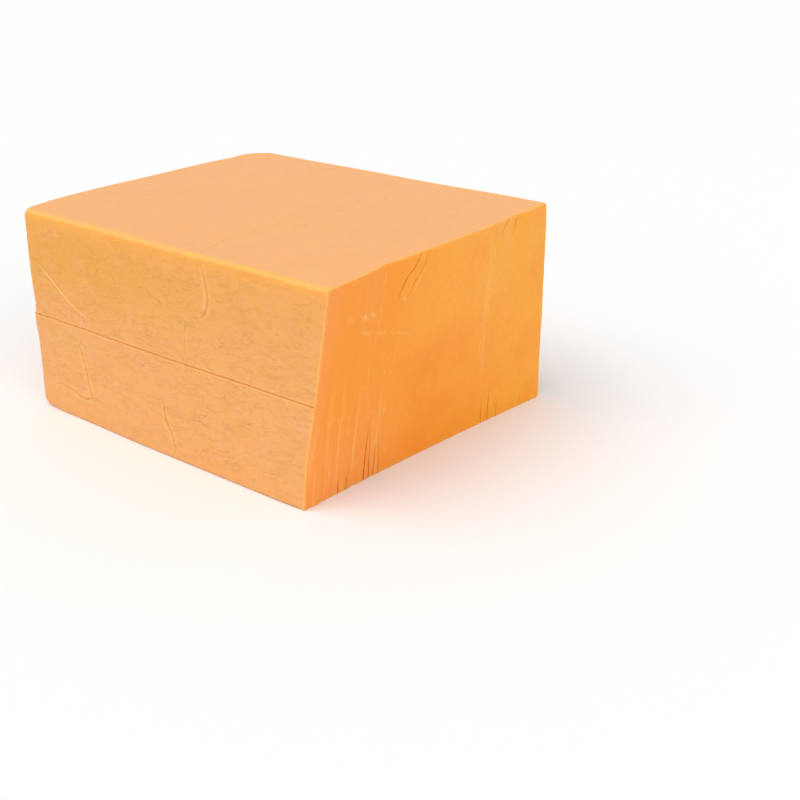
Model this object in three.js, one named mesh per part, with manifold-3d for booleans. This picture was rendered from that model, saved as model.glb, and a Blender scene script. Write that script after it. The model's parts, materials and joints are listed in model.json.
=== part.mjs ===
// A block of orange cheddar lying on its broad face, with a slab already cut from one end by a wire.
// Sizes are millimetres. X runs along the block to the cut end, Y from its front to its back, Z up.
// The five uncut sides keep the skin and the creases that the block's tight bag pressed into them.
import * as THREE from "three";
import { mergeVertices } from "three/addons/utils/BufferGeometryUtils.js";
import Module from "manifold-3d";

const { lerp, smoothstep, clamp } = THREE.MathUtils;
const wasm = await Module();
wasm.setup();

// The block before it was cut: 14 by 11 by 7 inches.
const BLOCK_LENGTH = 356;
const BLOCK_DEPTH = 279;
const BLOCK_HEIGHT = 178;
const HALF_DEPTH = BLOCK_DEPTH / 2;

// How long the cut left it at each corner, from the middle of the uncut end.
const CUT_TOP_FRONT = 330;
const CUT_TOP_BACK = 333.2;
const CUT_BOTTOM_FRONT = 300.5;
const CUT_BOTTOM_BACK = 336;
const CUT_BOTTOM_BOW = 2.5;
const CUT_SAG = 0.065;

// Hollows in the cut's top edge, where the wire bit in: place along Y, depth, half width and reach down.
const CUT_HOLLOWS = [
  { y: -80, depth: 3.2, spread: 55, reach: 70 },
  { y: -73, depth: 2.2, spread: 14, reach: 45 },
  { y: 91, depth: 2.3, spread: 13, reach: 40 },
];

// Ridges that the wire dragged down the cut face, strongest near its foot and towards the front.
const DRAG_PITCH = 8;
const DRAG_HEIGHT = 0.34;
const DRAG_FINE_PITCH = 4.1;
const DRAG_FINE_HEIGHT = 0.22;
const DRAG_SWAY = 3.2;
const DRAG_SWAY_LENGTH = 150;
const DRAG_CLIMB = 0.02;
const DRAG_FOOT = { from: 20, to: 120, loss: 0.75 };
const DRAG_FRONT = { from: 42, to: 105, loss: 0.65 };

// The uncut end: it leans out at its foot and bows in plan, with a dent over the seam and a bulge under it.
const END_LEAN = 6.3;
const END_REACH = 5.3;
const END_BOW = 16.4;
const END_BOW_MIDDLE = -41;
const END_BOW_LENGTH = 180;
const END_FADE = 45;
const END_WAVES = [
  { z: 99, out: -0.9, spread: 9 },
  { z: 75, out: 1.3, spread: 9 },
];

// The front bulges a little along its foot.
const FRONT_BULGE = 1.7;
const FRONT_BULGE_START = [40, 140];
const FRONT_BULGE_END = [270, 330];
const FRONT_BULGE_HEIGHT = 120;

// Roundness of the upright corners of the uncut end, and of the long top and bottom edges.
// The top and bottom edges are rounder where they meet at the front corner of the uncut end.
const CORNER_RADIUS_FRONT = 9;
const CORNER_RADIUS_BACK = 18;
const ROLL_AT_END = 5;
const ROLL_AT_CUT = 2.6;
const ROLL_BOTTOM = 2.6;
const FRONT_CORNER_TOP = 6.5;
const FRONT_CORNER_FOOT = 9;
const FRONT_CORNER_REACH = 28;

// The seam of the bag, pressed all round at half height, with a ledge under it.
const SEAM_HEIGHT = 87.7;
const SEAM_HALF_WIDTH = 0.9;
const SEAM_DEPTH = 0.95;
const SEAM_LEDGE = 0.55;
const SEAM_LEDGE_FADE = 26;

// Slow hills and hollows of the skin.
const HILL_SPACING = 118;
const HILL_HEIGHT = 0.65;
const HILL_WAVES = 3;
const HILL_TURN = 2.4;
const HILL_STRETCH = 0.37;
const SEEDS = { front: 1.3, back: 2.9, end: 4.2, top: 5.7 };
const FOOT_FADE = 12;
const SIDE_HUG = 4;

// Creases of the bag: places on the sharp-cornered box, wrapping over its edges where they do.
const CREASE_WIDTH = 1.7;
const CREASE_DEPTH = 0.8;
const FRONT = -HALF_DEPTH;
const BACK = HALF_DEPTH;
const TOP = BLOCK_HEIGHT;
const CREASES = [
  { name: "over the front top edge", places: [
    [196, FRONT, 126], [208, FRONT, 133], [213, FRONT, 146], [211, FRONT, 162],
    [208, FRONT, TOP], [200, -122, TOP], [194, -98, TOP], [197, -62, TOP], [204, -4, TOP]] },
  { name: "branch of it", places: [[213, FRONT, 146], [220, FRONT, 143], [227, FRONT, 140]] },
  { name: "front, down to the seam", places: [[189, FRONT, 132], [186, FRONT, 112], [184, FRONT, 90]] },
  { name: "front, foot of the left part", places: [
    [52, FRONT, 84], [57, FRONT, 68], [61, FRONT, 52],
    [63, FRONT, 36], [68, FRONT, 21], [70, FRONT, 8]] },
  { name: "front, foot of the middle", places: [
    [155, FRONT, 56], [158, FRONT, 33], [163, FRONT, 23], [166, FRONT, 10], [162, FRONT, 1]] },
  { name: "front, low wave", places: [
    [14, FRONT, 24], [27, FRONT, 28], [40, FRONT, 26],
    [55, FRONT, 22], [68, FRONT, 26], [84, FRONT, 24]] },
  { name: "top, middle", places: [[220, -28, TOP], [215, 2, TOP], [213, 42, TOP]] },
  { name: "top, towards the back", places: [
    [192, 49, TOP], [208, 50, TOP], [229, 46, TOP],
    [234, 58, TOP], [214, 72, TOP], [210, 114, TOP]] },
  { name: "top, by the end", places: [[19, -3, TOP], [23, 22, TOP], [20, 46, TOP]] },
  { name: "over the back top edge", places: [
    [120, 72, TOP], [112, 104, TOP], [116, BACK, TOP],
    [121, BACK, 150], [117, BACK, 122], [123, BACK, 92]] },
  { name: "back, foot of the right part", places: [
    [248, BACK, 84], [243, BACK, 60], [247, BACK, 34], [240, BACK, 6]] },
  { name: "back, low wave", places: [[30, BACK, 40], [58, BACK, 34], [82, BACK, 41], [108, BACK, 36]] },
  { name: "end, upright", places: [[0, 38, 170], [0, 34, 140], [0, 41, 114], [0, 36, 91]] },
  { name: "end, foot", places: [[0, -42, 84], [0, -36, 58], [0, -44, 30], [0, -40, 5]] },
];

// Raised fold lines of the bag's tucked corners, which meet the seam.
const FOLD_WIDTH = 2;
const FOLD_HEIGHT = 0.55;
const FOLDS = [
  { name: "front tuck", places: [
    [9, FRONT, 137], [32, FRONT, 122], [50, FRONT, 108], [72, FRONT, 97], [78, FRONT, 89]] },
  { name: "front tuck, inner edge", places: [[47, FRONT, 105], [48, FRONT, 97], [50, FRONT, 87]] },
  { name: "end tuck by the front", places: [[0, -124, 139], [0, -96, 118], [0, -70, 99], [0, -62, 89]] },
  { name: "end tuck by the back", places: [[0, 116, 137], [0, 92, 117], [0, 70, 98], [0, 63, 89]] },
  { name: "back tuck", places: [[24, BACK, 134], [48, BACK, 117], [72, BACK, 98], [80, BACK, 89]] },
];

// A lip squeezed up at the back corner of the uncut end's top edge.
const LIP_WIDTH = 9;
const LIP_HEIGHT = 1.1;
const LIP_PLACES = [[7, 98, TOP], [5, 106, TOP], [5, 116, TOP], [7, 125, TOP]];

// Splits that opened in the cut face as the wire pulled: places as (Y, Z).
const SPLITS = [
  { name: "long curl at the top", width: 2.2, depth: 3.2, places: [
    [-34, 179], [-42, 168], [-49, 163], [-55, 154], [-58, 147]] },
  { name: "beside the long curl", width: 1.4, depth: 1.2, places: [
    [-25, 179], [-32, 166], [-39, 158], [-44, 151], [-50, 146]] },
  { name: "top, by the back", width: 1.8, depth: 2.2, places: [[86, 180], [75, 172], [68, 165]] },
  { name: "top, at the back", width: 1.3, depth: 1.4, places: [[97, 180], [93, 170], [90, 162]] },
];

// Tears that run up from the foot of the cut face: place along Y, height, width, depth and lean.
const TEARS = [
  { y: -105, height: 17, width: 1.7, depth: 4, lean: -1 },
  { y: -97, height: 23, width: 1.6, depth: 4.5, lean: 1 },
  { y: -78, height: 47, width: 2.6, depth: 8, lean: 2 },
  { y: -72, height: 41, width: 2.2, depth: 7, lean: -1 },
  { y: -67, height: 31, width: 1.8, depth: 5, lean: 1 },
  { y: -61, height: 33, width: 1.5, depth: 4, lean: -2 },
  { y: 22, height: 12, width: 1.4, depth: 3, lean: 1 },
  { y: 62, height: 30, width: 1.7, depth: 4.5, lean: -1 },
  { y: 70, height: 35, width: 2, depth: 5.5, lean: 1 },
  { y: 82, height: 22, width: 1.6, depth: 4, lean: -1 },
  { y: 112, height: 14, width: 1.4, depth: 3, lean: 1 },
];
const TEAR_STEPS = 5;
const TEAR_START = -3;
const TEAR_TAPER = 0.7;

// Where the grids of the skin and of the cut have their lines.
const SKIN_STEP = 24;
const CLEAR_SHARE = 0.4;
const ROLL_LINES = [0, 1.5, 3.2, 5.4, 9, 16];
const SEAM_LINES = [-8, -1, 0, 1];
const CUT_COLUMN = 3.5;
const CUT_COLUMN_FRONT = 2;
const CUT_FRONT_ZONE = 70;
const CUT_ROW = 13.5;
const CUT_MARGIN = 8;

// How far a groove's tool stands above the skin, how its ends narrow, and how its path is divided.
const TOOL_LIFT = 1.5;
const TOOL_END = 0.12;
const TOOL_STEP = 9;

// Distances that count as touching, and how near to a long side a place is on it.
const TOUCHING = 0.001;
const MERGE_DISTANCE = 0.0001;
const ON_SIDE = 0.999;

const CHEESE_ORANGE = 0xf2a64e;
const CHEESE_ROUGHNESS = 0.5;

// Slow waves that cross at different angles, from about -1 to 1.
function hills(a, b, spacing, seed) {
  let sum = 0;
  for (let wave = 0; wave < HILL_WAVES; wave += 1) {
    const turn = seed + wave * HILL_TURN;
    const length = spacing * (1 + HILL_STRETCH * wave);
    const along = a * Math.cos(turn) + b * Math.sin(turn);
    sum += Math.sin((2 * Math.PI * along) / length + seed * (wave + 1));
  }
  return sum / HILL_WAVES;
}

// The groove of the seam and the ledge that fades out under it, at a height.
function seamRelief(z) {
  const below = SEAM_HEIGHT - z;
  const groove = Math.max(0, 1 - Math.abs(below) / SEAM_HALF_WIDTH);
  const ledge = below > 0 ? 1 - smoothstep(below, 0, SEAM_LEDGE_FADE) : 0;
  return SEAM_LEDGE * ledge - SEAM_DEPTH * groove;
}

// How far the front bulges at a place along and up.
function frontBulge(x, z) {
  const started = smoothstep(x, ...FRONT_BULGE_START);
  const ended = smoothstep(x, ...FRONT_BULGE_END);
  return FRONT_BULGE * started * (1 - ended) * (1 - smoothstep(z, 0, FRONT_BULGE_HEIGHT));
}

// How round the top or bottom edge is at a place of the plan.
function rollRadius(x, y, upper) {
  const along = clamp(x / BLOCK_LENGTH, 0, 1);
  const corner = Math.max(0, 1 - Math.hypot(x, y - FRONT) / FRONT_CORNER_REACH);
  const top = lerp(lerp(ROLL_AT_END, ROLL_AT_CUT, along), FRONT_CORNER_TOP, corner);
  return upper ? top : lerp(ROLL_BOTTOM, FRONT_CORNER_FOOT, corner);
}

// A place of the plan drawn in to the rounded corners of the uncut end,
// its distance from the outline, and the way out.
function roundPlan(x, y) {
  const side = y < 0 ? -1 : 1;
  const radius = side < 0 ? CORNER_RADIUS_FRONT : CORNER_RADIUS_BACK;
  const inX = radius - x;
  const inY = Math.abs(y) - (HALF_DEPTH - radius);
  if (inX > 0 && inY > 0) {
    const squeeze = Math.max(inX, inY) / Math.hypot(inX, inY);
    const qx = inX * squeeze;
    const qy = inY * squeeze;
    const size = Math.hypot(qx, qy);
    const plan = { x: radius - qx, y: side * (HALF_DEPTH - radius + qy) };
    return { ...plan, gap: radius - size, out: [-qx / size, (side * qy) / size] };
  }
  const toSide = HALF_DEPTH - Math.abs(y);
  const nearEnd = x < toSide;
  return { x, y, gap: nearEnd ? x : toSide, out: nearEnd ? [-1, 0] : [0, side] };
}

// A place on the sharp-cornered box, carried to the block's skin, with the direction that faces out there.
function skin([x, y, z]) {
  const plan = roundPlan(x, y);
  const upper = z > BLOCK_HEIGHT / 2;
  const fromFace = upper ? BLOCK_HEIGHT - z : z;
  const radius = rollRadius(x, y, upper);
  const quarter = Math.PI / 4;
  let tilt = Math.PI / 2;
  if (fromFace < radius && plan.gap <= TOUCHING) tilt = quarter + (quarter * fromFace) / radius;
  if (fromFace <= TOUCHING) tilt = quarter * Math.max(0, 1 - plan.gap / radius);
  const rolled = fromFace < radius && plan.gap < radius;
  const inset = rolled ? radius * (1 - Math.sin(tilt)) - plan.gap : 0;
  const drop = rolled ? radius * (1 - Math.cos(tilt)) : fromFace;
  const up = (upper ? 1 : -1) * Math.cos(tilt);
  const flat = Math.sin(tilt);
  const normal = new THREE.Vector3(plan.out[0] * flat, plan.out[1] * flat, up);
  const point = new THREE.Vector3(
    plan.x - plan.out[0] * inset,
    plan.y - plan.out[1] * inset,
    upper ? BLOCK_HEIGHT - drop : drop,
  );
  point.add(swell(x, y, z));
  return { point, normal: normal.normalize() };
}

// What the skin stands proud of the plain box: the form of the uncut end, the hills, the bulge and the seam.
function swell(x, y, z) {
  const height = clamp(z / BLOCK_HEIGHT, 0, 1);
  const nearEnd = 1 - smoothstep(x, 0, END_FADE);
  const bow = END_BOW * ((y - END_BOW_MIDDLE) / END_BOW_LENGTH) ** 2;
  const foot = smoothstep(z, 0, FOOT_FADE);
  let outAtEnd = END_REACH + END_LEAN * (1 - height) - bow;
  outAtEnd += HILL_HEIGHT * hills(y, z, HILL_SPACING, SEEDS.end) * foot;
  for (const wave of END_WAVES) outAtEnd += wave.out * Math.exp(-(((z - wave.z) / wave.spread) ** 2));
  if (x < 1) outAtEnd += seamRelief(z);
  const toSide = Math.abs(y) / HALF_DEPTH;
  const seed = y < 0 ? SEEDS.front : SEEDS.back;
  let outAtSide = HILL_HEIGHT * hills(x, z, HILL_SPACING, seed) * foot;
  if (toSide > ON_SIDE) outAtSide += seamRelief(z);
  if (y < 0) outAtSide += frontBulge(x, z);
  outAtSide *= toSide ** SIDE_HUG;
  const outAtTop = HILL_HEIGHT * hills(x, y, HILL_SPACING, SEEDS.top) * height ** SIDE_HUG;
  return new THREE.Vector3(-outAtEnd * nearEnd, Math.sign(y) * outAtSide, outAtTop);
}

// How strongly the wire dragged at the face: most at its foot, towards the front.
function dragStrength(y, z) {
  const low = 1 - DRAG_FOOT.loss * smoothstep(z, DRAG_FOOT.from, DRAG_FOOT.to);
  const front = 1 - DRAG_FRONT.loss * smoothstep(y - FRONT, DRAG_FRONT.from, DRAG_FRONT.to);
  return low * front;
}

// The cut face: how far along X it lies at a place across and up.
function cutFace(y, z) {
  const across = (y + HALF_DEPTH) / BLOCK_DEPTH;
  const down = 1 - z / BLOCK_HEIGHT;
  const fall = down + CUT_SAG * Math.sin(Math.PI * clamp(down, 0, 1) ** 2);
  const topEdge = lerp(CUT_TOP_FRONT, CUT_TOP_BACK, across);
  const footBow = CUT_BOTTOM_BOW * 4 * across * (1 - across);
  const footEdge = lerp(CUT_BOTTOM_FRONT, CUT_BOTTOM_BACK, across) - footBow;
  let x = lerp(topEdge, footEdge, fall);
  for (const hollow of CUT_HOLLOWS) {
    const beside = ((y - hollow.y) / hollow.spread) ** 2;
    x -= hollow.depth * Math.exp(-beside - Math.max(0, BLOCK_HEIGHT - z) / hollow.reach);
  }
  const swayed = y + DRAG_SWAY * Math.sin((2 * Math.PI * z) / DRAG_SWAY_LENGTH);
  const broad = DRAG_HEIGHT * hills(swayed, z * DRAG_CLIMB, DRAG_PITCH, SEEDS.end);
  const fine = DRAG_FINE_HEIGHT * hills(swayed, z * DRAG_CLIMB, DRAG_FINE_PITCH, SEEDS.top);
  return x + (broad + fine) * dragStrength(y, z);
}

// A closed mesh as a solid that booleans can work on.
function solidOf(geometry) {
  const plain = new THREE.BufferGeometry();
  plain.setAttribute("position", geometry.getAttribute("position").clone());
  plain.setIndex(geometry.getIndex());
  const merged = mergeVertices(plain, MERGE_DISTANCE);
  const vertProperties = merged.getAttribute("position").array;
  const triVerts = new Uint32Array(merged.getIndex().array);
  return new wasm.Manifold(new wasm.Mesh({ numProp: 3, vertProperties, triVerts }));
}

// Lines across a length: close together in the rolled edges and round the seam, evenly spaced between them.
function gridLines(length, rolledBothEnds, kept) {
  const start = ROLL_LINES;
  const end = rolledBothEnds ? ROLL_LINES.map((gap) => length - gap).reverse() : [length];
  const first = start[start.length - 1];
  const last = end[0];
  const count = Math.round((last - first) / SKIN_STEP);
  const middle = [];
  for (let i = 1; i < count; i += 1) middle.push(lerp(first, last, i / count));
  const room = SKIN_STEP * CLEAR_SHARE;
  const clear = middle.filter((value) => kept.every((line) => Math.abs(line - value) > room));
  return [...start, ...clear, ...kept, ...end].sort((a, b) => a - b);
}

// The uncut block: a box whose lines are moved to their places, then every point carried to the skin.
function skinSolid() {
  const seamLines = SEAM_LINES.map((gap) => SEAM_HEIGHT + gap * SEAM_HALF_WIDTH);
  const xs = gridLines(BLOCK_LENGTH, false, []);
  const ys = gridLines(BLOCK_DEPTH, true, []).map((y) => y - HALF_DEPTH);
  const zs = gridLines(BLOCK_HEIGHT, true, seamLines);
  const [nx, ny, nz] = [xs.length - 1, ys.length - 1, zs.length - 1];
  const box = new THREE.BoxGeometry(nx, ny, nz, nx, ny, nz);
  box.translate(nx / 2, ny / 2, nz / 2);
  const position = box.getAttribute("position");
  for (let i = 0; i < position.count; i += 1) {
    const x = xs[Math.round(position.getX(i))];
    const y = ys[Math.round(position.getY(i))];
    const z = zs[Math.round(position.getZ(i))];
    position.setXYZ(i, ...skin([x, y, z]).point.toArray());
  }
  return solidOf(box);
}

// What the wire cut away: everything beyond the cut face, as a deep box whose near side is that face.
function cutAwaySolid() {
  const ys = [];
  for (let y = FRONT - CUT_MARGIN; y < HALF_DEPTH + CUT_MARGIN; ) {
    ys.push(y);
    y += y < FRONT + CUT_FRONT_ZONE ? CUT_COLUMN_FRONT : CUT_COLUMN;
  }
  const rows = Math.ceil((BLOCK_HEIGHT + 2 * CUT_MARGIN) / CUT_ROW);
  const columns = ys.length - 1;
  const box = new THREE.BoxGeometry(1, columns, rows, 1, columns, rows);
  box.translate(0.5, columns / 2, rows / 2);
  const position = box.getAttribute("position");
  for (let i = 0; i < position.count; i += 1) {
    const y = ys[Math.round(position.getY(i))];
    const z = lerp(-CUT_MARGIN, BLOCK_HEIGHT + CUT_MARGIN, position.getZ(i) / rows);
    const near = position.getX(i) < 0.5;
    position.setXYZ(i, near ? cutFace(y, z) : BLOCK_LENGTH + CUT_MARGIN, y, z);
  }
  return solidOf(box);
}

// A three-sided bar along a path on the skin. Each station has a point, the way out, a half width
// and a reach, which goes into the cheese for a groove and out of it for a raised line.
function barSolid(stations, intoCheese) {
  const corners = [];
  stations.forEach((station, i) => {
    const before = stations[Math.max(0, i - 1)].point;
    const after = stations[Math.min(stations.length - 1, i + 1)].point;
    const along = new THREE.Vector3().subVectors(after, before).normalize();
    const across = new THREE.Vector3().crossVectors(along, station.normal).normalize();
    const way = intoCheese ? 1 : -1;
    const spread = station.half * (1 + TOOL_LIFT / station.reach);
    const base = station.point.clone().addScaledVector(station.normal, way * TOOL_LIFT);
    corners.push(base.clone().addScaledVector(across, spread));
    corners.push(base.clone().addScaledVector(across, -spread));
    corners.push(station.point.clone().addScaledVector(station.normal, -way * station.reach));
  });
  const faces = [[0, 1, 2]];
  for (let i = 0; i + 1 < stations.length; i += 1) {
    for (let side = 0; side < 3; side += 1) {
      const a = i * 3 + side;
      const b = i * 3 + ((side + 1) % 3);
      faces.push([a, a + 3, b], [b, a + 3, b + 3]);
    }
  }
  const last = (stations.length - 1) * 3;
  faces.push([last, last + 2, last + 1]);
  const ordered = intoCheese ? faces : faces.map(([a, b, c]) => [a, c, b]);
  const geometry = new THREE.BufferGeometry();
  const coordinates = corners.flatMap((corner) => corner.toArray());
  geometry.setAttribute("position", new THREE.Float32BufferAttribute(coordinates, 3));
  geometry.setIndex(ordered.flat());
  return solidOf(geometry);
}

// A path through places, divided evenly, narrowing to its two ends.
function stationsAlong(places, carry, half, reach) {
  const points = places.map((place) => new THREE.Vector3(...place));
  const curve = new THREE.CatmullRomCurve3(points, false, "centripetal");
  const count = Math.max(4, Math.round(curve.getLength() / TOOL_STEP));
  return curve.getSpacedPoints(count).map((place, i) => {
    const narrow = Math.sqrt(Math.max(TOOL_END ** 2, Math.sin((Math.PI * i) / count)));
    return { ...carry(place.toArray()), half: half * narrow, reach: reach * narrow };
  });
}

// A place near the box's sides, moved onto the nearest one, so that a curved path stays on the skin.
function skinNearby([x, y, z]) {
  const gaps = [x, y - FRONT, BACK - y, BLOCK_HEIGHT - z];
  const nearest = gaps.indexOf(Math.min(...gaps));
  const place = [nearest === 0 ? 0 : Math.max(x, 0), clamp(y, FRONT, BACK), Math.min(z, TOP)];
  if (nearest === 1) place[1] = FRONT;
  if (nearest === 2) place[1] = BACK;
  if (nearest === 3) place[2] = TOP;
  return skin(place);
}

// A place on the cut face, from its height and its distance across.
function cutNearby([, y, z]) {
  return { point: new THREE.Vector3(cutFace(y, z), y, z), normal: new THREE.Vector3(1, 0, 0) };
}

function creaseSolid({ places }) {
  return barSolid(stationsAlong(places, skinNearby, CREASE_WIDTH / 2, CREASE_DEPTH), true);
}

function foldSolid({ places }) {
  return barSolid(stationsAlong(places, skinNearby, FOLD_WIDTH / 2, FOLD_HEIGHT), false);
}

function lipSolid() {
  return barSolid(stationsAlong(LIP_PLACES, skinNearby, LIP_WIDTH / 2, LIP_HEIGHT), false);
}

function splitSolid({ places, width, depth }) {
  const spots = places.map(([y, z]) => [0, y, z]);
  return barSolid(stationsAlong(spots, cutNearby, width / 2, depth), true);
}

// A tear is widest and deepest at the foot of the face and closes as it climbs.
function tearSolid({ y, height, width, depth, lean }) {
  const stations = [];
  for (let i = 0; i <= TEAR_STEPS; i += 1) {
    const share = i / TEAR_STEPS;
    const closed = Math.max(TOOL_END, (1 - share) ** TEAR_TAPER);
    const spot = cutNearby([0, y + lean * share, lerp(TEAR_START, height, share)]);
    stations.push({ ...spot, half: (width / 2) * closed, reach: depth * closed });
  }
  return barSolid(stations, true);
}

// The whole block: skin, raised lines, creases, then the cut and what it tore open.
function blockSolid() {
  let block = skinSolid();
  for (const raised of [...FOLDS.map(foldSolid), lipSolid()]) block = block.add(raised);
  for (const crease of CREASES.map(creaseSolid)) block = block.subtract(crease);
  block = block.subtract(cutAwaySolid());
  for (const split of SPLITS.map(splitSolid)) block = block.subtract(split);
  for (const tear of TEARS.map(tearSolid)) block = block.subtract(tear);
  return block;
}

// The solid as a geometry, moved so that the middle of its foot is the origin.
function centredGeometry(solid) {
  const mesh = solid.getMesh();
  const geometry = new THREE.BufferGeometry();
  geometry.setAttribute("position", new THREE.BufferAttribute(mesh.vertProperties, 3));
  geometry.setIndex(new THREE.BufferAttribute(mesh.triVerts, 1));
  geometry.computeBoundingBox();
  const { min, max } = geometry.boundingBox;
  geometry.translate(-(min.x + max.x) / 2, -(min.y + max.y) / 2, -min.z);
  geometry.computeVertexNormals();
  return geometry;
}

const cheese = new THREE.MeshStandardMaterial({
  color: CHEESE_ORANGE,
  roughness: CHEESE_ROUGHNESS,
  metalness: 0,
});
const block = new THREE.Mesh(centredGeometry(blockSolid()), cheese);
block.name = "cheddar_block";

const group = new THREE.Group();
group.add(block);
export default group;
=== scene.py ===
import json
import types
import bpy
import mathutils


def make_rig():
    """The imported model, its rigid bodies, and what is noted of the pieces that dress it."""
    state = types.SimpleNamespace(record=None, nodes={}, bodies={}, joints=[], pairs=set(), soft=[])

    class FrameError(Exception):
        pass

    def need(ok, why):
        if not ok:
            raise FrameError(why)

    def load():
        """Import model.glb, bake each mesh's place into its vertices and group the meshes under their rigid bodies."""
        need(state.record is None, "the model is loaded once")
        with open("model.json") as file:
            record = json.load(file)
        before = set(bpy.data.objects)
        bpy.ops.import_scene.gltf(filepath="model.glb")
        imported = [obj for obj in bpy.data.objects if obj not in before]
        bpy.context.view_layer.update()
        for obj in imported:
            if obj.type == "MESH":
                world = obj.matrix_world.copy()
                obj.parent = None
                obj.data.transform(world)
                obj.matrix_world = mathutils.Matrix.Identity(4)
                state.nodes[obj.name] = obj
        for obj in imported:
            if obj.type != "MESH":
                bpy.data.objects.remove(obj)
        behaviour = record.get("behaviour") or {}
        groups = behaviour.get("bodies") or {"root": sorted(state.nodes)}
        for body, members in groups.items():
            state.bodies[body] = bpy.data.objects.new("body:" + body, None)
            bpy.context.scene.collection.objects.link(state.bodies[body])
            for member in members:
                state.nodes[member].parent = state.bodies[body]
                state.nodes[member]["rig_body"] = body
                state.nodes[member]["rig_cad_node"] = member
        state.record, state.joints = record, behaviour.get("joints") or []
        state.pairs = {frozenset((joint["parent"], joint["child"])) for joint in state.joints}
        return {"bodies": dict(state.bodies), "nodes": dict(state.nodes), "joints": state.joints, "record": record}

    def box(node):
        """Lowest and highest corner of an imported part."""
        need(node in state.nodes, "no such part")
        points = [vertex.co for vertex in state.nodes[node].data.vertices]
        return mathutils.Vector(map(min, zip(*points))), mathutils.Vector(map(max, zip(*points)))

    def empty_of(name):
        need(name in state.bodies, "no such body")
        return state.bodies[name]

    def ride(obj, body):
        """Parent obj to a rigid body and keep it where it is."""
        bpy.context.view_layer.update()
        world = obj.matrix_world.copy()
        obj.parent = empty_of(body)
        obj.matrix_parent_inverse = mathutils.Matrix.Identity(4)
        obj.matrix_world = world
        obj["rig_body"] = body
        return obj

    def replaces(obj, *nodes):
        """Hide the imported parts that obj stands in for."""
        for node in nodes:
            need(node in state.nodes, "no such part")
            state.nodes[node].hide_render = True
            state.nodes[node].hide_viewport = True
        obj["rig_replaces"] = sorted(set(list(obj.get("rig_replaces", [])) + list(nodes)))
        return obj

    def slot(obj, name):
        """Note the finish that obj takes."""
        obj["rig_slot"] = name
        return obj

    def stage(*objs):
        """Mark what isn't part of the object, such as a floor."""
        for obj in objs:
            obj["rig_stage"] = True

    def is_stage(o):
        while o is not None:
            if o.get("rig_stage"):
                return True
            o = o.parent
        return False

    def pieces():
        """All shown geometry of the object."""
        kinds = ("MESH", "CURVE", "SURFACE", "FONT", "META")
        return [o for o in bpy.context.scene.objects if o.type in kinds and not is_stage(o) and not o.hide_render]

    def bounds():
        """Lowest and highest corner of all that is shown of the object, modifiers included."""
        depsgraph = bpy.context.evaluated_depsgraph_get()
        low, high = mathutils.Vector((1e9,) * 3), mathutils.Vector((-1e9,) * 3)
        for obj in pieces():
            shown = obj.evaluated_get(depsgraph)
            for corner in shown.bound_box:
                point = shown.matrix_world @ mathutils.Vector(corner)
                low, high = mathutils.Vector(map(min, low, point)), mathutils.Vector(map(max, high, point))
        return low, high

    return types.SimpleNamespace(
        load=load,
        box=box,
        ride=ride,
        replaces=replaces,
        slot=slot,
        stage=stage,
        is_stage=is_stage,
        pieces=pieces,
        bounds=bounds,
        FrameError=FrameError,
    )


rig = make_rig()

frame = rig.load()

import json
import math

import bmesh
import bpy
import numpy as np
from mathutils import Matrix, Vector
from mathutils.kdtree import KDTree

bl_info = {
    "name": "Cheddar Block",
    "version": (1, 0, 0),
    "blender": (4, 5, 0),
    "location": "3D View > Sidebar > Cheddar",
    "description": "A bulk block of orange cheddar with one end cut by a wire",
    "category": "Object",
}

NODE = "cheddar_block"
BODY = "root"
SLOT = "cheddar"
CAD_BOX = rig.bounds()
MM = 0.001

# The block's form, in millimetres: X runs from the uncut end to the cut, Y across from the middle, Z up.
BLOCK_LENGTH = 356
BLOCK_DEPTH = 279
BLOCK_HEIGHT = 178
HALF_DEPTH = BLOCK_DEPTH / 2
FRONT = -HALF_DEPTH
BACK = HALF_DEPTH
TOP = BLOCK_HEIGHT

# The cut: how long it left the block at each corner, its bow and sag, the hollows in its top edge, and how
# the wire dragged at it.
CUT_TOP_FRONT = 330
CUT_TOP_BACK = 333.2
CUT_BOTTOM_FRONT = 300.5
CUT_BOTTOM_BACK = 336
CUT_BOTTOM_BOW = 2.5
CUT_SAG = 0.065
CUT_HOLLOWS = (
    {"y": -80, "depth": 3.2, "spread": 55, "reach": 70},
    {"y": -73, "depth": 2.2, "spread": 14, "reach": 45},
    {"y": 91, "depth": 2.3, "spread": 13, "reach": 40},
)
DRAG_PITCH = 8
DRAG_HEIGHT = 0.34
DRAG_FINE_PITCH = 4.1
DRAG_FINE_HEIGHT = 0.22
DRAG_SWAY = 3.2
DRAG_SWAY_LENGTH = 150
DRAG_CLIMB = 0.02
DRAG_FOOT = {"from": 20, "to": 120, "loss": 0.75}
DRAG_FRONT = {"from": 42, "to": 105, "loss": 0.65}

# The uncut end, its round corners and the rolled long edges, and the bulge along the front's foot.
END_LEAN = 6.3
END_REACH = 5.3
END_BOW = 16.4
END_BOW_MIDDLE = -41
END_BOW_LENGTH = 180
END_FADE = 45
END_WAVES = ({"z": 99, "out": -0.9, "spread": 9}, {"z": 75, "out": 1.3, "spread": 9})
FRONT_BULGE = 1.7
FRONT_BULGE_START = (40, 140)
FRONT_BULGE_END = (270, 330)
FRONT_BULGE_HEIGHT = 120
CORNER_RADIUS_FRONT = 9
CORNER_RADIUS_BACK = 18
ROLL_AT_END = 5
ROLL_AT_CUT = 2.6
ROLL_BOTTOM = 2.6
FRONT_CORNER_TOP = 6.5
FRONT_CORNER_FOOT = 9
FRONT_CORNER_REACH = 28

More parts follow.
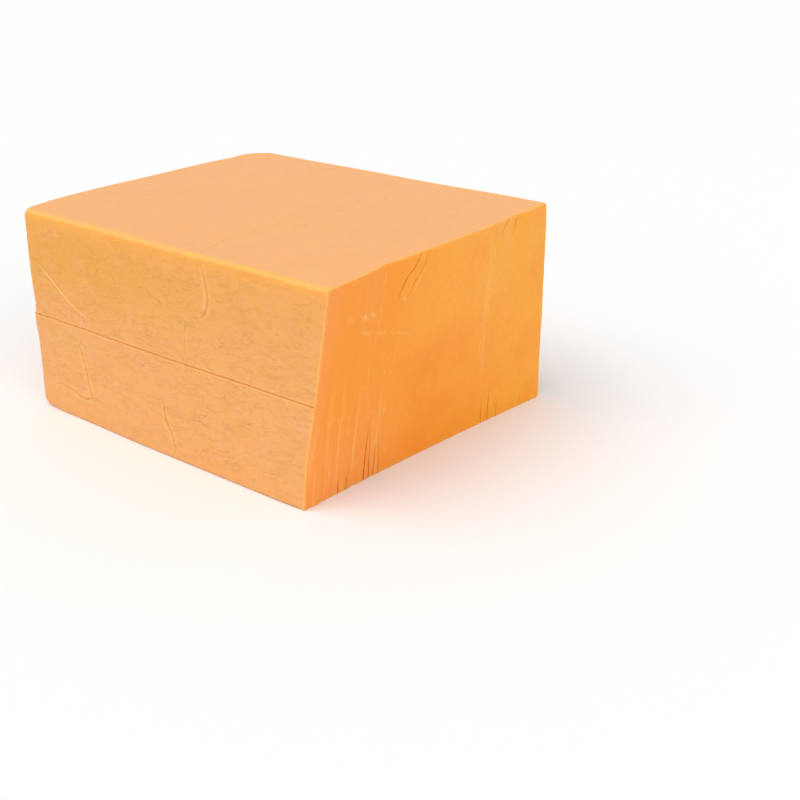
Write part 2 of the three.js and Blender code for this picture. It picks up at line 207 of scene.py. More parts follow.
# The seam's height, the ledge under it, the slow hills of the skin, and what counts as on a side.
SEAM_HEIGHT = 87.7
LEDGE = 0.55
LEDGE_FADE = 26
LEDGE_START = 1.0
HILL_SPACING = 118
HILL_HEIGHT = 0.65
HILL_WAVES = 3
HILL_TURN = 2.4
HILL_STRETCH = 0.37
SEEDS = {"front": 1.3, "back": 2.9, "end": 4.2, "top": 5.7}
FOOT_FADE = 12
SIDE_HUG = 4
ON_SIDE = 0.999
ON_END = 1
TINY = 1e-9

# Creases that the tight bag pressed into the skin, as half width, depth and places on the plain box.
CREASES = (
    (1.8, 0.6, ((196, FRONT, 126), (208, FRONT, 133), (213, FRONT, 146),
                (211, FRONT, 162), (208, FRONT, TOP))),
    (1.0, 0.45, ((208, FRONT, 172), (208, FRONT, TOP), (200, -122, TOP), (194, -98, TOP), (197, -62, TOP),
                 (204, -4, TOP))),
    (1.0, 0.35, ((213, FRONT, 146), (220, FRONT, 143), (227, FRONT, 140))),
    (1.0, 0.35, ((189, FRONT, 132), (186, FRONT, 112), (184, FRONT, 90))),
    (1.7, 0.65, ((52, FRONT, 84), (57, FRONT, 68), (61, FRONT, 52),
                 (63, FRONT, 36), (68, FRONT, 21), (70, FRONT, 8))),
    (1.0, 0.5, ((65, FRONT, 29), (68, FRONT, 22), (69, FRONT, 13))),
    (1.8, 0.65, ((155, FRONT, 56), (158, FRONT, 33), (163, FRONT, 23), (166, FRONT, 10), (162, FRONT, 1))),
    (1.9, 0.5, ((14, FRONT, 24), (27, FRONT, 28), (40, FRONT, 26),
                (55, FRONT, 22), (68, FRONT, 26), (84, FRONT, 24))),
    (1.7, 1.5, ((65.5, FRONT, 95), (65.9, FRONT, 92.5))),
    (1.0, 0.4, ((4, FRONT, 137.4), (18, FRONT, 129.6), (31, FRONT, 119.6),
                (49, FRONT, 105.6), (70, FRONT, 95))),
    (0.9, 0.35, ((191, -136, TOP), (190, -88, TOP), (198, -30, TOP), (205, -4, TOP))),
    (0.9, 0.3, ((220, -28, TOP), (215, 2, TOP), (213, 42, TOP))),
    (0.9, 0.3, ((192, 49, TOP), (208, 50, TOP), (229, 46, TOP),
                 (234, 58, TOP), (214, 72, TOP), (210, 114, TOP))),
    (0.8, 0.22, ((19, -3, TOP), (23, 22, TOP), (20, 46, TOP))),
    (1.2, 0.5, ((120, 72, TOP), (112, 104, TOP), (116, BACK, TOP),
                (121, BACK, 150), (117, BACK, 122), (123, BACK, 92))),
    (1.2, 0.6, ((248, BACK, 84), (243, BACK, 60), (247, BACK, 34), (240, BACK, 6))),
    (1.4, 0.4, ((30, BACK, 40), (58, BACK, 34), (82, BACK, 41), (108, BACK, 36))),
    (1.1, 0.5, ((0, 38, 170), (0, 34, 140), (0, 41, 114), (0, 36, 91))),
    (1.2, 0.6, ((0, -42, 84), (0, -36, 58), (0, -44, 30), (0, -40, 5))),
)

# Raised fold lines of the bag's tucked corners, as half width, height and places.
FOLDS = (
    (0.95, 0.9, ((4, FRONT, 140), (19, FRONT, 132), (32, FRONT, 122), (50, FRONT, 108), (72, FRONT, 97),
                (78, FRONT, 89))),
    (0.9, 0.45, ((47, FRONT, 105), (48, FRONT, 99), (48, FRONT, 92), (50, FRONT, 86))),
    (1.1, 0.6, ((0, -124, 139), (0, -96, 118), (0, -70, 99), (0, -62, 89))),
    (1.1, 0.6, ((0, 116, 137), (0, 92, 117), (0, 70, 98), (0, 63, 89))),
    (1.1, 0.6, ((24, BACK, 134), (48, BACK, 117), (72, BACK, 98), (80, BACK, 89))),
)

# The lip squeezed up at the back corner of the uncut end's top edge, as half width, height and places.
LIP = (4.5, 1.1, ((8, 98, TOP), (6, 106, TOP), (6, 116, TOP), (9, 126, TOP)))

# The bag's seam, as half width and depth, pressed all the way round.
SEAM = (1.0, 0.95)

# Splits that opened in the cut face as the wire pulled, as width, depth and places (Y, Z).
SPLITS = (
    (1.2, 3.2, ((-34, 179), (-42, 168), (-49, 163), (-55, 154), (-58, 147))),
    (0.8, 1.6, ((-25, 179), (-32, 166), (-39, 158), (-44, 151), (-50, 146))),
    (1.0, 2.2, ((86, 180), (75, 172), (68, 165))),
    (0.8, 1.6, ((97, 180), (93, 170), (90, 162))),
)

# Tears that run up from the foot of the cut face: place along Y, height, width, depth and lean.
TEARS = (
    (-105, 17, 1.1, 4, -1),
    (-97, 23, 1.1, 4.5, 1),
    (-78, 47, 2.4, 8, 2),
    (-72, 41, 2.0, 7, -1),
    (-67, 31, 1.6, 5, 1),
    (-61, 33, 1.0, 4, -2),
    (22, 12, 1.0, 3, 1),
    (62, 30, 1.2, 4.5, -1),
    (70, 35, 1.4, 5.5, 1),
    (82, 22, 1.1, 4, -1),
    (112, 14, 1.0, 3, 1),
)

# A rosy bruise beside the front's fold, and painted light: the cut's bright rim, the glow painted under the top edge
# and the bright band painted on it.
BRUISE = {"x": 64, "z": 95, "spread": 7}
RIM_GLOW = 1.3
GLOW_START = 2
GLOW_REACH = 7.0
UPRIGHT_ENDS = 3
TOP_STARTS = 0.5
EDGE_BAND = {"from": 1.6, "to": 8.5, "squeeze": 2.4}

# Pale marks dragged over the cut face, as half width, strength and places (Y, Z).
MARKS = (
    (1.9, 0.8, ((58.6, 170), (57.7, 155), (56.8, 129), (55.9, 103), (53.8, 85), (52.6, 72))),
    (1.7, 0.65, ((52.6, 76), (57, 56), (60, 26))),
    (1.6, 0.7, ((63, 168), (61.5, 140), (60, 112), (58, 92), (58, 74), (61, 40))),
    (1.2, 0.35, ((46, 160), (45, 132), (43, 108))),
    (1.3, 0.75, ((-73.5, 179), (-73, 170), (-73.5, 160))),
    (1.2, 0.45, ((-73.5, 160), (-76, 140), (-79, 122), (-82, 106))),
    (1.4, 0.55, ((-82, 106), (-85, 88), (-88, 70), (-89, 50))),
    (2.4, 0.75, ((-99, 133), (-92, 131), (-84, 129))),
    (2.2, 0.75, ((-79, 127), (-72, 125), (-66, 123))),
    (1.6, 0.5, ((-62, 122), (-49, 118), (-36, 113))),
    (0.9, 0.3, ((-33, 112), (-8, 101), (10, 94))),
    (0.8, 0.5, ((-49, 137), (-52, 121), (-54, 104), (-58, 89), (-63, 77))),
    (5.0, 0.9, ((-99, 145), (-90, 141))),
    (3.6, 0.8, ((-90, 146), (-80, 140))),
    (2.6, 0.6, ((-115, 147), (-106, 146))),
    (3.0, 0.95, ((-52, 148), (-49, 143))),
    (1.8, 1.0, ((80, 177.5), (90, 175.5), (99, 177.5))),
    (1.2, 0.7, ((-31, 164), (-36, 155), (-42, 147))),
    (1.2, 0.6, ((80, 168), (86, 158), (88, 150))),
    (1.0, 0.6, ((97, 172), (95, 160), (93, 150))),
)

# Short pale curls on the cut: where they lie along Y and Z and how many, then their size, strength and bends.
CURLS = (
    ((-128, -92), (6, 70), 26),
    ((-92, -56), (8, 60), 16),
    ((50, 62), (82, 132), 12),
    ((55, 86), (6, 30), 10),
    ((-68, -54), (76, 108), 5),
)
CURL_LENGTH = (4, 13)
CURL_HALF_WIDTH = 0.7
CURL_STRENGTH = (0.3, 0.75)
CURL_SWAY = 0.9
CURL_BENDS = (0, 0.35, 0.7, 1)

# How far the meshes' triangles and the lines' points may reach, and the bars that cut the splits, in mm.
PLAN_LENGTH = 330
FIRST_CELLS = (27, 23, 15)
REFINE_ROUNDS = 9
KEY_STEP = 10 ** 7
ON_PLANE = 0.01
FAR = 99.0
COARSEST = 20.0
RIM_RADIUS = 0.7
RIM_UNEVEN = 0.45
RIM_WAVES = ((0.31, 0.47, 0), (0.11, -0.17, 1))
RIM_BLUNT = {"radius": 2.2, "spread": 7}
SPACING = {
    "cut": (9, 2.4, 8),
    "end": (9, 6.2, 6.2),
    "front": (2.3, 9, 2.3),
    "back": (6.2, 9, 6.2),
    "top": (4.5, 4.5, 9),
    "foot": (20, 20, 20),
}
RIM_SPACING = 0.7
ROLL_SPACING = 1.7
FOOT_SPACING = 2.6
SEAM_SPACING = 0.65
LINE_SPACING = 1.15
MARK_SPACING = 1.7
LINE_REACH = 1.0
GROWTH = 0.5
LINE_STEP = 0.8
BAR_STEP = 1.6
TOOL_LIFT = 1.5
TOOL_END = 0.12

# How ragged the splits and tears are, and how a tear starts under the foot and closes.
SPLIT_RAGGED = 0.3
TEAR_STEPS = 14
TEAR_START = -3
TEAR_SWAY = 0.35
TEAR_CLOSING = 0.7
TEAR_RAGGED = 0.25

# Where the cut is crumbly, as middle (Y, Z), spread (Y, Z) and strength, the sheet that says so, and how the
# crumbs vary.
CRUMBLY = (
    (92, 175, 13, 4, 1.0),
    (-93, 143, 6, 4, 0.5),
    (-50, 145, 5, 4, 0.5),
    (-88, 127, 16, 3, 0.35),
    (-85, 10, 26, 9, 0.45),
    (72, 12, 16, 8, 0.35),
    (56, 95, 4, 20, 0.25),
)
HOST_ACROSS = (-137, 137, 90)
HOST_UP = (1.5, 176.5, 60)
CRUMB_TURN = (6.28, 6.28, 6.28)
CRUMB_RARITY = 2.5
CRUMB_SIZES = (0.4, 1.3)
CRUMB_UNEVEN = 0.35
CRUMB_FLAT = 0.62

# What starts each random draw.
CURL_DRAW = 7
SPLIT_DRAW = 11
CRUMB_DRAW = 5
SCATTER_DRAW = 3

# The relief that Geometry Nodes lay on: where a line's core and shoulder start and are full, in half widths,
# and then the ridges that the wire left.
LINE_CORE = (1.0, 0.0)
LINE_SHOULDER = (3.0, 0.9)
SHOULDERS = {"Seam": 0.22, "Creases": 0.3, "Folds": 0.12, "Lip": 0.0, "Marks": 0.0}
STRENGTH_OF_DEPTH = 1300.0
SHALLOW_SHARE = 0.4
WRINKLES_ON_TOP = 0.35
RIDGE_BEND = (-0.05, 0.028)
RIDGE_CLIMB = 9.0
RIDGE_NOISE = (1.0, 3.0, 0.6)
BROAD_RIDGES = 0.3
BROAD_RIDGE_NOISE = (1.0, 1.0)
BROAD_RIDGE_PLACE = 4.0
RIDGE_GAIN = 4.0

# The film's wrinkles: lines where a noise crosses even levels, as scale, levels, width and breaks.
WRINKLE_SIZE = 0.0105
WRINKLE_SQUASH = (0.5, 0.5, 1.0)
SOFT_WRINKLES = (1.1, 2.0)
LONG_WRINKLES = (0.6, 6.5, 0.16, 1.6)
LONG_WRINKLE_DEPTH = 1.2
FINE_WRINKLES = (2.0, 3.6, 0.27, 1.3)
FINE_PLACE = (7.3, 2.1, 5.9)
FINE_PATCH_NOISE = (0.45, 2.0)
FINE_PATCHES = (0.36, 0.56, 0.25, 1.0)
CONTOUR_NOISE = (2.5, 0.55, 0.8)
BREAK_PLACE = (3.3, 9.1, 1.7)
BREAKS = (0.3, 0.58)

# Patchy noises of the materials: scale, detail and roughness, then the noise where a patch starts and where
# it is full, and its colour's share at each.
PATTERNS = {
    "rosy skin": (34.0, 6.0, 0.8, 0.44, 0.66, 0.0, 0.7),
    "golden skin": (46.0, 6.0, 0.8, 0.44, 0.66, 0.0, 0.4),
    "golden height": (55.0, 4.0, 0.7, 0.35, 0.55, 0.55, 1.0),
    "top streaks": (1.0, 3.0, 0.6, 0.5, 0.75, 0.0, 1.0),
    "skin grain": (800.0, 2.0, 0.6, 0.40, 0.75, 0.0, 0.14),
    "skin edge": (90.0, 3.0, 0.7, 0.30, 0.62, 0.35, 0.95),
    "blotches": (22.0, 4.0, 0.6, 0.40, 0.68, 0.0, 0.45),
    "deep middle": (30.0, 4.0, 0.7, 0.3, 0.6, 0.55, 1.0),
    "mottled": (210.0, 4.0, 0.7, 0.42, 0.66, 0.0, 0.30),
    "cut streaks": (1.0, 3.0, 0.6, 0.48, 0.76, 0.0, 0.42),
    "flecks": (1.0, 2.0, 0.5, 0.60, 0.78, 0.0, 0.13),
    "ragged": (1.0, 4.0, 0.8, 0.40, 0.64, 0.05, 1.0),
    "crumb": (300.0, 2.0, 0.5, 0.35, 0.65, 0.0, 1.0),
}

# Slow changes over the block: the axis, the places in metres where each starts and ends, and its shares.
CHANGES = {
    "golden height": ("Z", 0.06, 0.15, 0.0, 0.9),
    "golden end": ("X", 0.12, -0.10, 0.5, 1.0),
    # How strongly the painted shade in the creases and the seam shows along the block.
    "crease shade": ("X", -0.16, -0.07, 0.3, 0.6),
    "deep middle": ("Z", 0.130, 0.085, 0.0, 1.0),
    "deep near": ("Y", 0.04, -0.09, 0.0, 0.75),
    "rosy foot": ("Z", 0.01, 0.10, 0.75, 0.0),
    "rosy near": ("Y", 0.0, -0.10, 0.0, 1.0),
    "dragged foot": ("Z", 0.13, 0.05, 0.0, 1.0),
    "dragged near": ("Y", -0.045, -0.085, 0.0, 1.0),
    "ridges at foot": ("Z", 0.03, 0.14, 1.0, 0.3),
    "ridges near": ("Y", -0.075, -0.02, 1.0, 0.4),
    "ridges aside": ("Z", 0.15, 0.06, 0.0, 0.02),
}

# The materials: their sheen, the shares and places of their colours, and their finest relief in metres.
SHEEN = {"skin": (0.5, 0.25), "paste": (0.42, 0.35), "crumb": (0.55, 0.35)}
CHEESE_IOR = 1.45
SCATTER_RADIUS = (1.0, 0.45, 0.12)
SCATTER_SCALE = 0.004
ASKEW = (0.5, 0.7, 0.3)
TOP_STRENGTH = 0.2
# Shares of the rosy bruise and of painted light: the glow under the top edge, the highlight beside the creases and the
# seam, the highlight on the folds and lip, and the bright rim by the cut.
SKIN_SHARES = {"bruise": 0.8, "glow": 0.95, "flank": 0.4, "fold": 0.75, "rim": 0.8}
GOLDEN_PLACE = (3.1, 1.7, 0.4)
LONG_LINE_SHARE = 0.7
# How much painted shade darkens the wrinkles' lines.
LINE_SHARE = 0.08
STREAK_SHARE = 0.15
STREAKS_ACROSS = (300.0, -135.0, 0.0)
STREAKS_ALONG = (17.0, 38.0, 0.0)
GRAIN_HEIGHT = 0.00005
LINE_DEPTH = 0.0004
SKIN_BUMP = 0.9
BLOTCH_STRETCH = (1.0, 1.0, 0.5)
DEEP_MIDDLE = (-0.01, 0.075)
MOTTLE_PLACE = (1.3, 4.1, 2.6)
ROSY_EDGE = (-0.130, -0.108, 0.9, 0.0)
ROSY_WANDER = 0.02
ROSY_NOISE = (70.0, 3.0, 0.7)
LEAST_DRAGGED = 0.12
STREAK_STRETCH = (1.0, 300.0, 11.0)
FLECK_STRETCH = (420.0, 420.0, 260.0)
RAGGED_STRETCH = (420.0, 420.0, 240.0)
MOST_PALE = 0.6
# Where the painted light on the cut's rim breaks into flecks.
RIM_FLECKS = (0.5, 0.9, 0.45, 0.85)
GROOVE_DEPTH = 0.0003
FLECK_HEIGHT = 0.00008
PASTE_BUMP = 0.8
SHARP_ANGLE = math.radians(50)

# The camera of the picture, in the frame's own place.
CAMERA_PLACE = (0.61516, -0.66610, 0.42179)
CAMERA_AZIMUTH = math.radians(36.5)
CAMERA_FALL = math.radians(25.071)
CAMERA_ROLL = math.radians(-0.313)
CAMERA_LENS = 50
SENSOR_WIDTH = 36

# The floor, and soft light from the upper left and, weaker, from the right: the way to each and its strength.
FLOOR_SIZE = 12
FLOOR_ROUGHNESS = 0.9
WORLD_STRENGTH = 0.62
SOFT_LIGHT_ANGLE = math.radians(50)
SOFT_LIGHTS = (
    ("key", (-0.46, -0.72, 1.3), 1.2),
    ("fill", (0.8, -0.3, 0.5), 0.75),
)


class CheddarSizes(bpy.types.PropertyGroup):
    """Sizes that a user would change, and the counts that go with them"""

    wrinkle_height: bpy.props.FloatProperty(
        name="Wrinkle Height", description="How high the fine wrinkles of the skin stand",
        default=0.00025, precision=5, unit="LENGTH")
    wrinkle_size: bpy.props.FloatProperty(
        name="Wrinkle Size", description="Distance that the skin's fine wrinkles meander over",
        default=WRINKLE_SIZE, precision=4, unit="LENGTH")
    drag_height: bpy.props.FloatProperty(
        name="Drag Height", description="How high the wire's drag marks stand on the cut",
        default=0.00026, precision=5, unit="LENGTH")
    drag_pitch: bpy.props.FloatProperty(
        name="Drag Pitch", description="Distance between the wire's drag marks",
        default=0.0031, precision=4, unit="LENGTH")
    crumb_size: bpy.props.FloatProperty(
        name="Crumb Size", description="Width of a common crumb on the cut",
        default=0.0011, precision=4, unit="LENGTH")
    crumb_density: bpy.props.FloatProperty(
        name="Crumb Density", description="Crumbs for each square metre where the cut is crumbly",
        default=52000.0)


def tint(name, description, default):
    """A colour that a user can change."""
    return bpy.props.FloatVectorProperty(
        name=name, description=description, subtype="COLOR", size=3, default=default)


class CheddarColours(bpy.types.PropertyGroup):
    """Colours of the cheese, some of them painted light and shade, and of the floor"""

    skin: tint("Skin", "Common colour of the upright sides", (0.86, 0.40, 0.125))
    # Painted highlight: the top is painted lighter and paler than the upright sides, for the light from above that
    # falls on it.
    lit_top_skin: tint("Top Skin", "Common colour of the top", (0.96, 0.45, 0.168))
    skin_rosy: tint("Rosy Skin", "Rosier patches of the skin", (0.87, 0.385, 0.15))
    skin_golden: tint("Golden Skin", "Golden patches of the skin", (0.81, 0.365, 0.04))
    # Painted light: a glow painted on the upright skin just under its rolled top edge, for light that comes through
    # the cheese there.
    under_edge_glow: tint("Deep Skin", "The upright skin just under its rolled top edge", (0.96, 0.405, 0.06))
    # Painted shade: what the skin's wrinkles, creases and seam are darkened to; the top's dark streaks take it too.
    wrinkle_shade_and_streaks: tint("Wrinkle", "What the skin's wrinkles and creases darken to", (0.66, 0.255, 0.045))
    edge: tint("Edge", "Where light comes through the rolled edges", (0.985, 0.49, 0.09))
    paste: tint("Paste", "Common colour of the cut face", (0.96, 0.385, 0.012))
    paste_deep: tint("Deep Paste", "Moist, deeper patches of the cut face", (0.93, 0.28, 0.002))
    paste_rosy: tint("Rosy Paste", "The cut face near its front and its foot", (0.94, 0.305, 0.05))
    # Pale is also painted as a highlight beside the creases and the seam and along the raised folds and lip.
    pale: tint("Pale", "Dry marks, crumbs and the grain of the skin", (0.98, 0.58, 0.22))
    floor: tint("Floor", "The floor that the block stands on", (0.95, 0.95, 0.95))


def lerp(low, high, share):
    return low + (high - low) * share


def smoothstep(value, low, high):
    share = np.clip((value - low) / (high - low), 0, 1)
    return share * share * (3 - 2 * share)


def hills(a, b, spacing, seed):
    """Slow waves that cross at different angles, from about -1 to 1."""
    total = 0
    for wave in range(HILL_WAVES):
        turn = seed + wave * HILL_TURN
        length = spacing * (1 + HILL_STRETCH * wave)
        along = a * math.cos(turn) + b * math.sin(turn)
        total = total + np.sin(2 * math.pi * along / length + seed * (wave + 1))
    return total / HILL_WAVES


def ledge(z):
    """The ledge that starts at the seam and fades out under it."""
    below = SEAM_HEIGHT - z
    started = smoothstep(below, -LEDGE_START, LEDGE_START)
    return LEDGE * started * (1 - smoothstep(below, 0, LEDGE_FADE))


def drag_strength(y, z):
    """How strongly the wire dragged at the cut: most at its foot, towards the front."""
    low = 1 - DRAG_FOOT["loss"] * smoothstep(z, DRAG_FOOT["from"], DRAG_FOOT["to"])
    return low * (1 - DRAG_FRONT["loss"] * smoothstep(y - FRONT, DRAG_FRONT["from"], DRAG_FRONT["to"]))


def cut_face(y, z):
    """How far along X the cut lies at a place across and up."""
    across = (y + HALF_DEPTH) / BLOCK_DEPTH
    down = 1 - z / BLOCK_HEIGHT
    fall = down + CUT_SAG * np.sin(math.pi * np.clip(down, 0, 1) ** 2)
    top_edge = lerp(CUT_TOP_FRONT, CUT_TOP_BACK, across)
    foot_bow = CUT_BOTTOM_BOW * 4 * across * (1 - across)
    foot_edge = lerp(CUT_BOTTOM_FRONT, CUT_BOTTOM_BACK, across) - foot_bow
    x = lerp(top_edge, foot_edge, fall)
    for hollow in CUT_HOLLOWS:
        beside = ((y - hollow["y"]) / hollow["spread"]) ** 2
        x = x - hollow["depth"] * np.exp(-beside - np.maximum(0, BLOCK_HEIGHT - z) / hollow["reach"])
    swayed = y + DRAG_SWAY * np.sin(2 * math.pi * z / DRAG_SWAY_LENGTH)
    broad = DRAG_HEIGHT * hills(swayed, z * DRAG_CLIMB, DRAG_PITCH, SEEDS["end"])
    fine = DRAG_FINE_HEIGHT * hills(swayed, z * DRAG_CLIMB, DRAG_FINE_PITCH, SEEDS["top"])
    return x + (broad + fine) * drag_strength(y, z)


def round_rim(x, y, z):
    """Rounds the sharp edge where the cut meets the skin, and leaves the other places alone."""
    waves = [np.sin(y * across + z * up + start) for across, up, start in RIM_WAVES]
    radius = RIM_RADIUS * (1 + RIM_UNEVEN * waves[0] * waves[1])
    radius = radius + RIM_BLUNT["radius"] * np.exp(-np.hypot(y - BACK, z - TOP) / RIM_BLUNT["spread"])
    length = cut_face(y, z)
    gap_y = HALF_DEPTH - np.abs(y)
    gap_z = np.minimum(z, BLOCK_HEIGHT - z)
    a = radius - (length - x)
    b = radius - np.minimum(np.minimum(gap_y, gap_z), radius)
    near = (a > 0) & (b > 0)
    size = np.maximum(np.hypot(a, b), TINY)
    squeeze = np.where(near, np.maximum(a, b) / size, 1)
    x = np.where(near, length - (radius - a * squeeze), x)
    close_y = near & (gap_y < radius)
    close_z = near & (gap_z < radius)
    new_y = HALF_DEPTH - (radius - (radius - gap_y) * squeeze)
    new_gap = radius - (radius - gap_z) * squeeze
    new_z = np.where(z > BLOCK_HEIGHT / 2, BLOCK_HEIGHT - new_gap, new_gap)
    return x, np.where(close_y, np.sign(y) * new_y, y), np.where(close_z, new_z, z)


def round_plan(x, y):
    """The plan drawn in to the end's round corners, with the distance to the outline and the way out."""
    side = np.where(y < 0, -1.0, 1.0)
    radius = np.where(y < 0, CORNER_RADIUS_FRONT, CORNER_RADIUS_BACK)
    in_x = radius - x
    in_y = np.abs(y) - (HALF_DEPTH - radius)
    corner = (in_x > 0) & (in_y > 0)
    reach = np.maximum(np.hypot(in_x, in_y), TINY)
    squeeze = np.maximum(in_x, in_y) / reach
    qx = in_x * squeeze
    qy = in_y * squeeze
    size = np.maximum(np.hypot(qx, qy), TINY)
    to_side = HALF_DEPTH - np.abs(y)
    near_end = x < to_side
    gap = np.where(corner, radius - size, np.minimum(x, to_side))
    out_x = np.where(corner, -qx / size, np.where(near_end, -1.0, 0.0))
    out_y = np.where(corner, side * qy / size, np.where(near_end, 0.0, side))
    plan_x = np.where(corner, radius - qx, x)
    plan_y = np.where(corner, side * (HALF_DEPTH - radius + qy), y)
    return plan_x, plan_y, gap, out_x, out_y


def roll_radius(x, y, upper):
    """How round the top or bottom edge is at a place of the plan."""
    corner = np.maximum(0, 1 - np.hypot(x, y - FRONT) / FRONT_CORNER_REACH)
    top = lerp(ROLL_AT_END, ROLL_AT_CUT, np.clip(x / BLOCK_LENGTH, 0, 1))
    return np.where(upper, lerp(top, FRONT_CORNER_TOP, corner), lerp(ROLL_BOTTOM, FRONT_CORNER_FOOT, corner))


def swell(x, y, z):
    """How far the skin stands proud of the plain box, at its end, in its hills and at its bulge and ledge."""
    height = np.clip(z / BLOCK_HEIGHT, 0, 1)
    near_end = 1 - smoothstep(x, 0, END_FADE)
    bow = END_BOW * ((y - END_BOW_MIDDLE) / END_BOW_LENGTH) ** 2
    foot = smoothstep(z, 0, FOOT_FADE)
    out_end = END_REACH + END_LEAN * (1 - height) - bow
    out_end = out_end + HILL_HEIGHT * hills(y, z, HILL_SPACING, SEEDS["end"]) * foot
    for wave in END_WAVES:
        out_end = out_end + wave["out"] * np.exp(-(((z - wave["z"]) / wave["spread"]) ** 2))
    out_end = out_end + np.where(x < ON_END, ledge(z), 0)
    to_side = np.abs(y) / HALF_DEPTH
    front, back = (hills(x, z, HILL_SPACING, SEEDS[side]) for side in ("front", "back"))
    bulge = smoothstep(x, *FRONT_BULGE_START) * (1 - smoothstep(x, *FRONT_BULGE_END))
    bulge = FRONT_BULGE * bulge * (1 - smoothstep(z, 0, FRONT_BULGE_HEIGHT))
    out_side = HILL_HEIGHT * np.where(y < 0, front, back) * foot + np.where(y < 0, bulge, 0)
    out_side = (out_side + np.where(to_side > ON_SIDE, ledge(z), 0)) * to_side ** SIDE_HUG
    out_top = HILL_HEIGHT * hills(x, y, HILL_SPACING, SEEDS["top"]) * height ** SIDE_HUG
    return np.stack([-out_end * near_end, np.sign(y) * out_side, out_top], axis=1)


def carried(places):
    """Places in or on the sharp-cornered box, carried to the block, in millimetres."""
    x0, y0, z0 = np.asarray(places, float).T
    x, y, z = round_rim(x0, y0, z0)
    plan_x, plan_y, gap, out_x, out_y = round_plan(x, y)
    upper = z > BLOCK_HEIGHT / 2
    from_face = np.where(upper, BLOCK_HEIGHT - z, z)
    radius = roll_radius(x, y, upper)
    a = radius - gap
    b = radius - from_face
    rolled = (a > 0) & (b > 0)
    squeeze = np.where(rolled, np.maximum(a, b) / np.maximum(np.hypot(a, b), TINY), 1)
    inset = np.where(rolled, a - a * squeeze, 0)
    drop = np.where(rolled, radius - b * squeeze, from_face)
    point = np.stack([
        plan_x - out_x * inset,
        plan_y - out_y * inset,
        np.where(upper, BLOCK_HEIGHT - drop, drop)], axis=1)
    return point + swell(x0, y0, z0)


def smooth_path(places, step):
    """A Catmull-Rom curve through the places, with its points about a step apart."""
    knots = np.asarray(places, float)
    knots = np.vstack([2 * knots[0] - knots[1], knots, 2 * knots[-1] - knots[-2]])
    parts = []
    for p0, p1, p2, p3 in zip(knots, knots[1:], knots[2:], knots[3:]):
        count = max(1, round(float(np.linalg.norm(p2 - p1)) / step))
        t = (np.arange(count) / count)[:, None]
        parts.append(0.5 * (2 * p1 + (p2 - p0) * t + (2 * p0 - 5 * p1 + 4 * p2 - p3) * t ** 2
                            + (3 * p1 - p0 - 3 * p2 + p3) * t ** 3))
    return np.vstack([*parts, knots[-2]])


def straight_path(places, step):
    """Straight stretches between the places, with points about a step apart."""
    parts = []
    for start, end in zip(np.asarray(places, float), np.asarray(places[1:], float)):
        count = max(1, round(float(np.linalg.norm(end - start)) / step))
        parts.append(start + (end - start) * (np.arange(count) / count)[:, None])
    return np.vstack([*parts, np.asarray(places[-1], float)])


def onto_skin(path):
    """A path's points moved onto the nearest side of the box: its uncut end, its long sides or its top."""
    x, y, z = path.T.copy()
    gaps = np.stack([x, y - FRONT, BACK - y, TOP - z])
    nearest = gaps.argmin(axis=0)
    x = np.where(nearest == 0, 0, np.maximum(x, 0))
    y = np.where(nearest == 1, FRONT, np.where(nearest == 2, BACK, np.clip(y, FRONT, BACK)))
    z = np.where(nearest == 3, TOP, np.minimum(z, TOP))
    return np.stack([x, y, z], axis=1)


def onto_cut(path):
    """A path of (Y, Z) on the cut, as places with their X."""
    y, z = path.T
    return np.stack([cut_face(y, z), y, z], axis=1)


def narrowed(count):
    """Shares from a path's start to its end that narrow it towards both."""
    along = np.arange(count) / (count - 1)
    return np.sqrt(np.maximum(TOOL_END ** 2, np.sin(math.pi * along)))


def new_mesh(name, points, edges=(), faces=()):
    """A mesh from its points, in metres."""
    mesh = bpy.data.meshes.new(name)
    mesh.from_pydata(points.tolist(), edges, faces)
    return mesh


def new_object(name, data):
    """An object of its own in the scene."""
    made = bpy.data.objects.new(name, data)
    bpy.context.scene.collection.objects.link(made)
    return made


def write_numbers(mesh, name, values, domain="POINT"):
    """Gives each point or face of a mesh its number of that name."""
    mesh.attributes.new(name, "FLOAT", domain).data.foreach_set("value", values.astype(np.float32))


class Lines:
    """Paths on the block of one kind, with a half width and a height at each point."""

    def __init__(self, name, spacing=LINE_SPACING):
        self.name = name
        self.spacing = spacing
        self.places = []
        self.edges = []
        self.half_widths = []
        self.heights = []

    def add(self, places, half_width, height, tapered=True):
        start = sum(len(part) for part in self.places)
        count = len(places)
        share = narrowed(count) if tapered else np.ones(count)
        self.places.append(places)
        self.edges.extend((start + i, start + i + 1) for i in range(count - 1))
        self.half_widths.append(half_width * share)
        self.heights.append(height * share)

    def to_object(self, shift):
        """A mesh of edges on the block, for the relief to follow."""
        points = (carried(np.vstack(self.places)) + shift) * MM
        mesh = new_mesh(self.name, points, self.edges)
        write_numbers(mesh, "half_width", np.concatenate(self.half_widths) * MM)
        write_numbers(mesh, "height", np.concatenate(self.heights) * MM)
        return new_object(self.name, mesh)


def seam_lines():
    """The seam, pressed all the way round the skin from one side of the cut to the other."""
    front_cut = float(cut_face(FRONT, SEAM_HEIGHT))
    back_cut = float(cut_face(BACK, SEAM_HEIGHT))
    corners = ((front_cut, FRONT), (0, FRONT), (0, BACK), (back_cut, BACK))
    path = straight_path([(x, y, SEAM_HEIGHT) for x, y in corners], LINE_STEP)
    seam = Lines("seam_lines")
    seam.add(path, SEAM[0], -SEAM[1], tapered=False)
    return seam


def skin_lines(name, table, sign=1):
    """Lines along the skin from a table of half widths, heights and places. A sign of -1 presses them in."""
    lines = Lines(name)
    for half_width, height, places in table:
        lines.add(onto_skin(smooth_path(places, LINE_STEP)), half_width, sign * height)
    return lines


